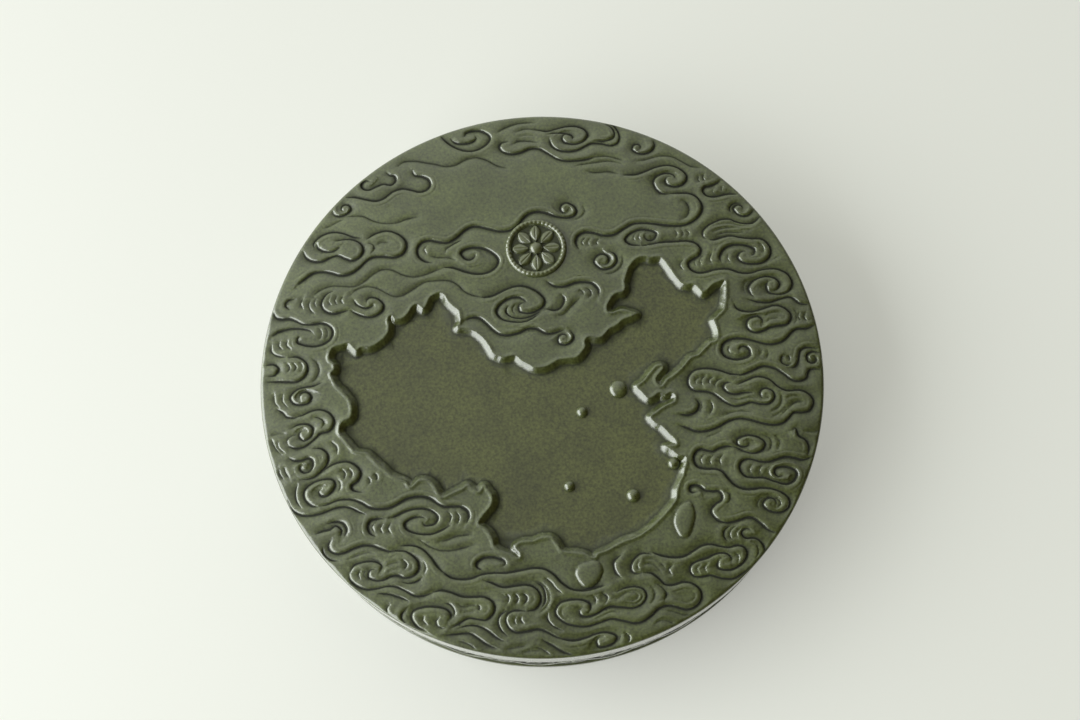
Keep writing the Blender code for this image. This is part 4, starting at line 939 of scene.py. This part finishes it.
def move_to(mesh, places):
    """Moves a mesh's vertices to places in millimetres."""
    mesh.vertices.foreach_set("co", (places * MM).ravel())
    mesh.update()


def paint(mesh, **fields):
    """Stores a number at each vertex under a name, for the materials to read."""
    for name, values in fields.items():
        layer = mesh.attributes.new(name, "FLOAT", "POINT")
        layer.data.foreach_set("value", np.broadcast_to(values, len(mesh.vertices)).astype(np.float32))


def unfold(mesh):
    """Evens out the few spots on the carved face where thinning the mesh folds a small triangle over."""
    bm = bmesh.new()
    bm.from_mesh(mesh)
    for _ in range(UNFOLD_ROUNDS):
        bm.normal_update()
        folded = {}
        for face in bm.faces:
            if face.normal.z < STEEPEST:
                place = face.calc_center_median() / MM
                if place.z > FACE - TOP_REACH and place.xy.length < RADIUS - SHOULDER_RUN - 1:
                    folded.update(dict.fromkeys(face.verts))
        if not folded:
            break
        axes = dict.fromkeys(("use_axis_x", "use_axis_y", "use_axis_z"), True)
        bmesh.ops.smooth_vert(bm, verts=list(folded), factor=0.5, **axes)
    bm.to_mesh(mesh)
    bm.free()


def build_face(finish):
    """The upper stone, from the carved face down to the frieze's top edge."""
    relief = carve_face()
    bm = bmesh.new()
    cells = GRID_CELLS
    bmesh.ops.create_grid(bm, x_segments=cells, y_segments=cells, size=1.0)
    rim = [edge for edge in bm.edges if edge.is_boundary]
    levels = np.linspace(0, 1, RIM_RINGS + 1)[1:]
    for level in [*(-levels), -2.0]:
        grown = bmesh.ops.extrude_edge_only(bm, edges=rim)["geom"]
        for item in grown:
            if isinstance(item, bmesh.types.BMVert):
                item.co.z = level
        rim = [item for item in grown if isinstance(item, bmesh.types.BMEdge) and item.is_boundary]
    bmesh.ops.holes_fill(bm, edges=rim, sides=0)
    piece = new_piece("carved_face", bm, ["stone_body"], finish)
    mesh = piece.data
    places = np.empty(len(mesh.vertices) * 3)
    mesh.vertices.foreach_get("co", places)
    u, v, level = places.reshape(-1, 3).T
    round_x, round_y = u * np.sqrt(1 - v * v / 2), v * np.sqrt(1 - u * u / 2)
    inner = RADIUS - RIM_ROUND
    reach = np.where(level < 0, inner + RIM_ROUND * np.sin(np.clip(-level, 0, 1) * math.pi / 2), inner)
    x, y = round_x * reach, round_y * reach
    from_centre = np.hypot(x, y)
    out = np.clip((from_centre - RADIUS + SHOULDER_RUN) / SHOULDER_RUN, 0, 1)
    shoulder = SHOULDER_DROP * (1 - np.sqrt(1 - out * out))
    crown = CROWN_DROP * np.clip(1 - (RADIUS - from_centre) / CROWN_RUN, 0, 1) ** 2
    carved = relief.at(relief.height, x, y) * np.clip((RADIUS - RIM_CLEAR - from_centre) / RIM_FADE, 0, 1)
    z = np.where(level < -1.5, FRIEZE_TOP, FACE - shoulder - crown + carved)
    move_to(mesh, np.column_stack([x, y, z]))
    thin = piece.modifiers.new("thin", "DECIMATE")
    thin.ratio = FACE_TRIANGLES / (2 * len(mesh.polygons))
    graph = bpy.context.evaluated_depsgraph_get()
    piece.data = bpy.data.meshes.new_from_object(piece.evaluated_get(graph))
    piece.modifiers.clear()
    bpy.data.meshes.remove(mesh)
    mesh = piece.data
    unfold(mesh)
    x, y, z = coordinates(mesh).T
    top = z > FACE - TOP_REACH
    band = np.clip((np.hypot(x, y) - RADIUS + RIM_BAND) / RIM_BAND_FADE, 0, 1)
    # Ink, wear, painted shade and painted highlight from the carving, none on the polished rim band
    hollow = relief.at(relief.hollow, x, y) * top * (1 - band)
    polish = np.maximum(band, WALL_POLISH * relief.at(relief.wall, x, y) * top)
    paint(mesh, hollow=hollow, pool=relief.at(relief.pool, x, y), polish=polish)
    return piece


def build_frieze(finish):
    """The lower stone: the frieze, the ring foot and the recess underneath."""
    relief, length = carve_frieze()
    sunk = RADIUS - FRIEZE_DEPTH
    band_top, band_bottom = FRIEZE_TOP - FRIEZE_DEPTH, FRIEZE_BOTTOM + FRIEZE_DEPTH
    rows = int((band_top - band_bottom) / SIDE_STEP) + 1
    foot = RADIUS - FOOT_WIDTH
    profile = [(RADIUS, FRIEZE_TOP)] + [(sunk, level) for level in np.linspace(band_top, band_bottom, rows)]
    profile += [(RADIUS, FRIEZE_BOTTOM), (RADIUS, FOOT_CHAMFER), (RADIUS - FOOT_CHAMFER, 0), (foot, 0),
                (foot - UNDERSIDE_RECESS, UNDERSIDE_RECESS)]
    segments = int(2 * math.pi * RADIUS / SIDE_STEP)
    piece = new_piece("frieze_and_foot", turned(profile, segments), ["stone_body"], finish)
    mesh = piece.data
    x, y, z = coordinates(mesh).T
    reach = np.hypot(x, y)
    along = np.mod(np.arctan2(y, x) * RADIUS + length / 2, length) - length / 2
    middle = z - (FRIEZE_TOP + FRIEZE_BOTTOM) / 2
    within = np.abs(reach - sunk) < 0.01
    grown = np.where(within, 1 + relief.at(relief.height, along, middle) / sunk, 1)
    move_to(mesh, np.column_stack([x * grown, y * grown, z]))
    # The sunk band carries painted shade all over and more in its hollows, and wear with a painted highlight
    # on its scroll
    hollow, raised = relief.at(relief.hollow, along, middle), relief.at(relief.height, along, middle)
    polish = np.clip(raised / SCROLL_RISE, BAND_POLISH, 1)
    paint(mesh, hollow=np.where(within, BAND_SHADE + hollow, 0), pool=0.0, polish=polish)
    mesh.set_sharp_from_angle(angle=SIDE_CREASE)
    return piece


def build_studs(finish):
    """Domed studs on the pool floor, each as wide and as high as its solid."""
    for name in ("stud_north", "stud_centre", "stud_southwest", "stud_south", "stud_east"):
        low, high = (np.array(corner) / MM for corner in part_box(name))
        radius = (high[0] - low[0]) / 2
        rim = FACE - POOL_DEPTH + STUD_STEM
        arc = np.linspace(0.05, math.pi / 2, STUD_RINGS)
        dome = [(radius * math.sin(turn), rim + (high[2] - rim) * math.cos(turn)) for turn in arc]
        foot = FACE - POOL_DEPTH - STUD_SEAT
        bm = turned(dome + [(radius, foot)], STUD_SEGMENTS, (low + high)[:2] / 2)
        piece = new_piece(name + "_dome", bm, [name], finish)
        paint(piece.data, hollow=0.0, pool=0.0, polish=0.5)


def build_medallion(finish):
    """A rosette of petals round a pearl, inside a ring of beads."""
    low, high = (np.array(corner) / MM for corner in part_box("medallion"))
    radius = (high[0] - low[0]) / 2
    rings = np.linspace(0.3, radius - 0.02, PLATE_RINGS)
    profile = [(ring, FACE + 1) for ring in rings] + [(radius, FACE - PLATE_EDGE), (radius, low[2])]
    bm = turned(profile, PLATE_SEGMENTS, (low + high)[:2] / 2)
    piece = new_piece("rosette_medallion", bm, ["medallion"], finish)
    x, y, z = coordinates(piece.data).T
    cx, cy = (low + high)[:2] / 2
    reach, turn = np.hypot(x - cx, y - cy), np.arctan2(y - cy, x - cx)
    room = high[2] - FACE - PLATE_RISE
    pearl = room * np.sqrt(np.maximum(1 - (reach / PEARL_RADIUS) ** 2, 0))
    spread = np.abs(np.mod(turn * PETALS / (2 * math.pi) + 0.5, 1) - 0.5) * 2
    run = np.clip((reach - PEARL_RADIUS - PETAL_GAP) / (radius - RING_WIDTH - PEARL_RADIUS - 0.9), 0, 1)
    wide = PETAL_FILL * np.sin(math.pi * run**0.8) ** 0.6
    petal = PETAL_RISE * np.sqrt(np.maximum(1 - (spread / np.maximum(wide, 0.01)) ** 2, 0)) * (run < 1)
    petal -= VEIN_DEPTH * np.exp(-((spread / VEIN_WIDTH) ** 2)) * (petal > 0)
    across = (reach - radius + RING_WIDTH / 2) / (RING_WIDTH / 2)
    bead = 1 - BEAD_NOTCH * np.abs(np.sin(turn * RING_BEADS / 2)) ** 6
    ring = RING_RISE * np.sqrt(np.maximum(1 - across**2, 0)) * bead
    height = FACE + PLATE_RISE + np.maximum.reduce([pearl, petal, ring])
    top = z > FACE
    move_to(piece.data, np.column_stack([x, y, np.where(top, height, z)]))
    # Painted shade on the medallion's low parts, and wear with a painted highlight on its pearl, petals and
    # ring
    hollow = 0.5 - np.maximum.reduce([pearl, petal, ring])
    paint(piece.data, hollow=np.where(top, 0.5 * hollow, 0), pool=0.0, polish=0.3)


def linear(colour):
    """A six-digit sRGB colour as linear light with full alpha."""
    values = [int(colour[start:start + 2], 16) / 255 for start in (1, 3, 5)]
    return [v / 12.92 if v <= 0.04045 else ((v + 0.055) / 1.055) ** 2.4 for v in values] + [1.0]


def add_node(tree, kind, inputs=None, **settings):
    """Adds a node, sets it up, and fills its inputs with values or links."""
    node = tree.nodes.new(kind)
    for name, value in settings.items():
        setattr(node, name, value)
    for name, value in (inputs or {}).items():
        socket = next(item for item in node.inputs if name in (item.identifier, item.name))
        if isinstance(value, bpy.types.NodeSocket):
            tree.links.new(value, socket)
        else:
            socket.default_value = value
    return node


def carved_stone(name, body, shade, wear_and_highlight, floor):
    """Waxed ink stone: dark where wax and old ink lie in the cuts, with painted shade there and in recesses;
    paler and glossier on rubbed edges, the paler part partly wear and partly painted highlight.
    """
    finish = bpy.data.materials.new(name)
    finish.use_nodes = True
    tree = finish.node_tree
    shader = tree.nodes["Principled BSDF"]

    def painted(field):
        return add_node(tree, "ShaderNodeAttribute", attribute_name=field).outputs["Fac"]

    def noise(size_mm, detail):
        # Scale is in cycles per metre
        inputs = {"Vector": place, "Scale": 1000.0 / size_mm, "Detail": detail}
        return add_node(tree, "ShaderNodeTexNoise", inputs).outputs["Fac"]

    def ramp(value, start, end, low, high):
        inputs = {"Value": value, "From Min": start, "From Max": end, "To Min": low, "To Max": high}
        return add_node(tree, "ShaderNodeMapRange", inputs).outputs["Result"]

    def mix(share, first, second):
        inputs = {"Factor_Float": share, "A_Color": first, "B_Color": second}
        return add_node(tree, "ShaderNodeMix", inputs, data_type="RGBA").outputs[2]

    def product(first, second):
        inputs = {"Value": first, "Value_001": second}
        return add_node(tree, "ShaderNodeMath", inputs, operation="MULTIPLY").outputs[0]

    place = add_node(tree, "ShaderNodeTexCoord").outputs["Object"]
    hollow, polish, pool = painted("hollow"), painted("polish"), painted("pool")
    # Clouding about 22 mm across, grain about 1 mm and scattered dark specks about 2 mm apart
    cloud, grain, speck = noise(22, 5), noise(1.2, 4), noise(2.2, 2)
    tone = product(ramp(cloud, 0.3, 0.7, 0.78, 1.18), ramp(grain, 0.25, 0.75, 0.45, 1.55))
    tone = product(tone, ramp(speck, 0.66, 0.74, 1.0, 0.72))
    colour = mix(pool, linear(body), linear(floor))
    colour = add_node(tree, "ShaderNodeHueSaturation", {"Color": colour, "Value": tone}).outputs["Color"]
    # Old ink and painted shade in the cuts and recesses
    colour = mix(ramp(hollow, 0.06, 0.36, 0.0, 0.9), colour, linear(shade))
    # Paler on raised edges and pool walls, as wear and painted highlight
    colour = mix(ramp(hollow, -0.06, -0.36, 0.0, 0.5), colour, linear(wear_and_highlight))
    # Rubbed to a sheen that is a little uneven with the grain
    sheen = product(ramp(polish, 0.0, 1.0, 0.48, 0.12), ramp(grain, 0.25, 0.75, 0.85, 1.15))
    bump = add_node(tree, "ShaderNodeBump", {"Height": grain, "Strength": 0.2, "Distance": 0.0001})
    tree.links.new(colour, shader.inputs["Base Color"])
    # Old ink in the cuts is matt
    terms = {"Value": sheen, "Value_001": ramp(hollow, 0.05, 0.35, 0.0, 0.4)}
    rough = add_node(tree, "ShaderNodeMath", terms, operation="ADD")
    tree.links.new(rough.outputs[0], shader.inputs["Roughness"])
    # Wax gives a clear gloss, worn thin on the pool floor and dulled by ink
    coat = product(ramp(hollow, 0.03, 0.25, 1.0, 0.0), ramp(pool, 0.0, 1.0, 1.0, 0.45))
    tree.links.new(coat, shader.inputs["Coat Weight"])
    tree.links.new(bump.outputs["Normal"], shader.inputs["Normal"])
    shader.inputs["IOR"].default_value = 1.6
    shader.inputs["Coat Roughness"].default_value = 0.2
    shader.inputs["Coat IOR"].default_value = 1.7
    return finish


def plain_floor():
    """A pale matt table top, which the camera sees a little lighter than the lamps make it."""
    finish = bpy.data.materials.new("pale_table_top")
    finish.use_nodes = True
    tree = finish.node_tree
    shader = tree.nodes["Principled BSDF"]
    shader.inputs["Base Color"].default_value = linear("#edeee8")
    shader.inputs["Roughness"].default_value = 0.6
    rays = add_node(tree, "ShaderNodeLightPath").outputs
    seen = rays["Is Camera Ray"]
    for ray in ("Is Glossy Ray", "Is Transmission Ray"):
        either = {"Value": seen, "Value_001": rays[ray]}
        seen = add_node(tree, "ShaderNodeMath", either, operation="MAXIMUM").outputs[0]
    share = add_node(tree, "ShaderNodeMath", {"Value": seen, "Value_001": FLOOR_GLOW}, operation="MULTIPLY")
    glow = add_node(tree, "ShaderNodeEmission", {"Color": linear("#f2f4ee")})
    both = {"Fac": share.outputs[0], "Shader": shader.outputs[0], "Shader_001": glow.outputs[0]}
    blend = add_node(tree, "ShaderNodeMixShader", both)
    tree.links.new(blend.outputs[0], tree.nodes["Material Output"].inputs["Surface"])
    bm = bmesh.new()
    bmesh.ops.create_grid(bm, x_segments=1, y_segments=1, size=FLOOR_SIZE)
    mesh = bpy.data.meshes.new("table_top")
    bm.to_mesh(mesh)
    bm.free()
    mesh.materials.append(finish)
    floor = bpy.data.objects.new("table_top", mesh)
    bpy.context.scene.collection.objects.link(floor)


def light_scene():
    """A wide window on the left, and a room that is cool and bright on that side and warm on the other."""
    window = bpy.data.lights.new("window", "AREA")
    window.shape = "RECTANGLE"
    window.size, window.size_y = WINDOW_SIZE
    window.energy = WINDOW_POWER
    window.color = linear("#f6fafa")[:3]
    lamp = bpy.data.objects.new("window", window)
    lamp.location = WINDOW_PLACE
    facing = Vector((-WINDOW_PLACE[0], -WINDOW_PLACE[1], 0))
    lamp.rotation_euler = facing.to_track_quat("-Z", "Y").to_euler()
    bpy.context.scene.collection.objects.link(lamp)
    world = bpy.data.worlds.new("room")
    world.use_nodes = True
    tree = world.node_tree
    heading = add_node(tree, "ShaderNodeTexCoord").outputs["Generated"]
    ends = {"Vector": heading, "Vector_001": ROOM_BRIGHT_SIDE}
    across = add_node(tree, "ShaderNodeVectorMath", ends, operation="DOT_PRODUCT").outputs["Value"]
    reach = dict(zip(("From Min", "From Max"), ROOM_SPREAD))
    side = add_node(tree, "ShaderNodeMapRange", {"Value": across, **reach})
    dim, bright = linear("#463a1c"), linear("#f4f8ea")
    colours = {"Factor_Float": side.outputs["Result"], "A_Color": dim, "B_Color": bright}
    colour = add_node(tree, "ShaderNodeMix", colours, data_type="RGBA").outputs[2]
    room = tree.nodes["Background"]
    tree.links.new(colour, room.inputs["Color"])
    room.inputs["Strength"].default_value = ROOM_STRENGTH
    bpy.context.scene.world = world


def place_camera():
    """The photograph's view: steeply down from the front, with a slight turn of the camera."""
    back = Vector((0, -math.cos(CAMERA_RISE), math.sin(CAMERA_RISE)))
    right = Vector((1, 0, 0))
    up = back.cross(right)
    across = math.cos(CAMERA_ROLL) * right + math.sin(CAMERA_ROLL) * up
    above = math.cos(CAMERA_ROLL) * up - math.sin(CAMERA_ROLL) * right
    data = bpy.data.cameras.new("camera")
    data.lens = CAMERA_LENS
    data.sensor_width = 36.0
    camera = bpy.data.objects.new("camera", data)
    turn = Matrix((across, above, back)).transposed().to_4x4()
    aim = Vector((*CAMERA_AIM, FACE)) * MM
    camera.matrix_world = Matrix.Translation(aim + CAMERA_DISTANCE * MM * back) @ turn
    bpy.context.scene.collection.objects.link(camera)
    bpy.context.scene.camera = camera


ink_stone = carved_stone("waxed_ink_stone", "#444c25", "#070803", "#5f6444", "#464a23")
inset_stone = carved_stone("waxed_inset_stone", "#49502b", "#0e0f08", "#5f6444", "#464a23")
build_face(ink_stone)
build_frieze(ink_stone)
build_studs(inset_stone)
build_medallion(inset_stone)
plain_floor()
light_scene()
place_camera()
bpy.context.scene.view_settings.view_transform = "Standard"
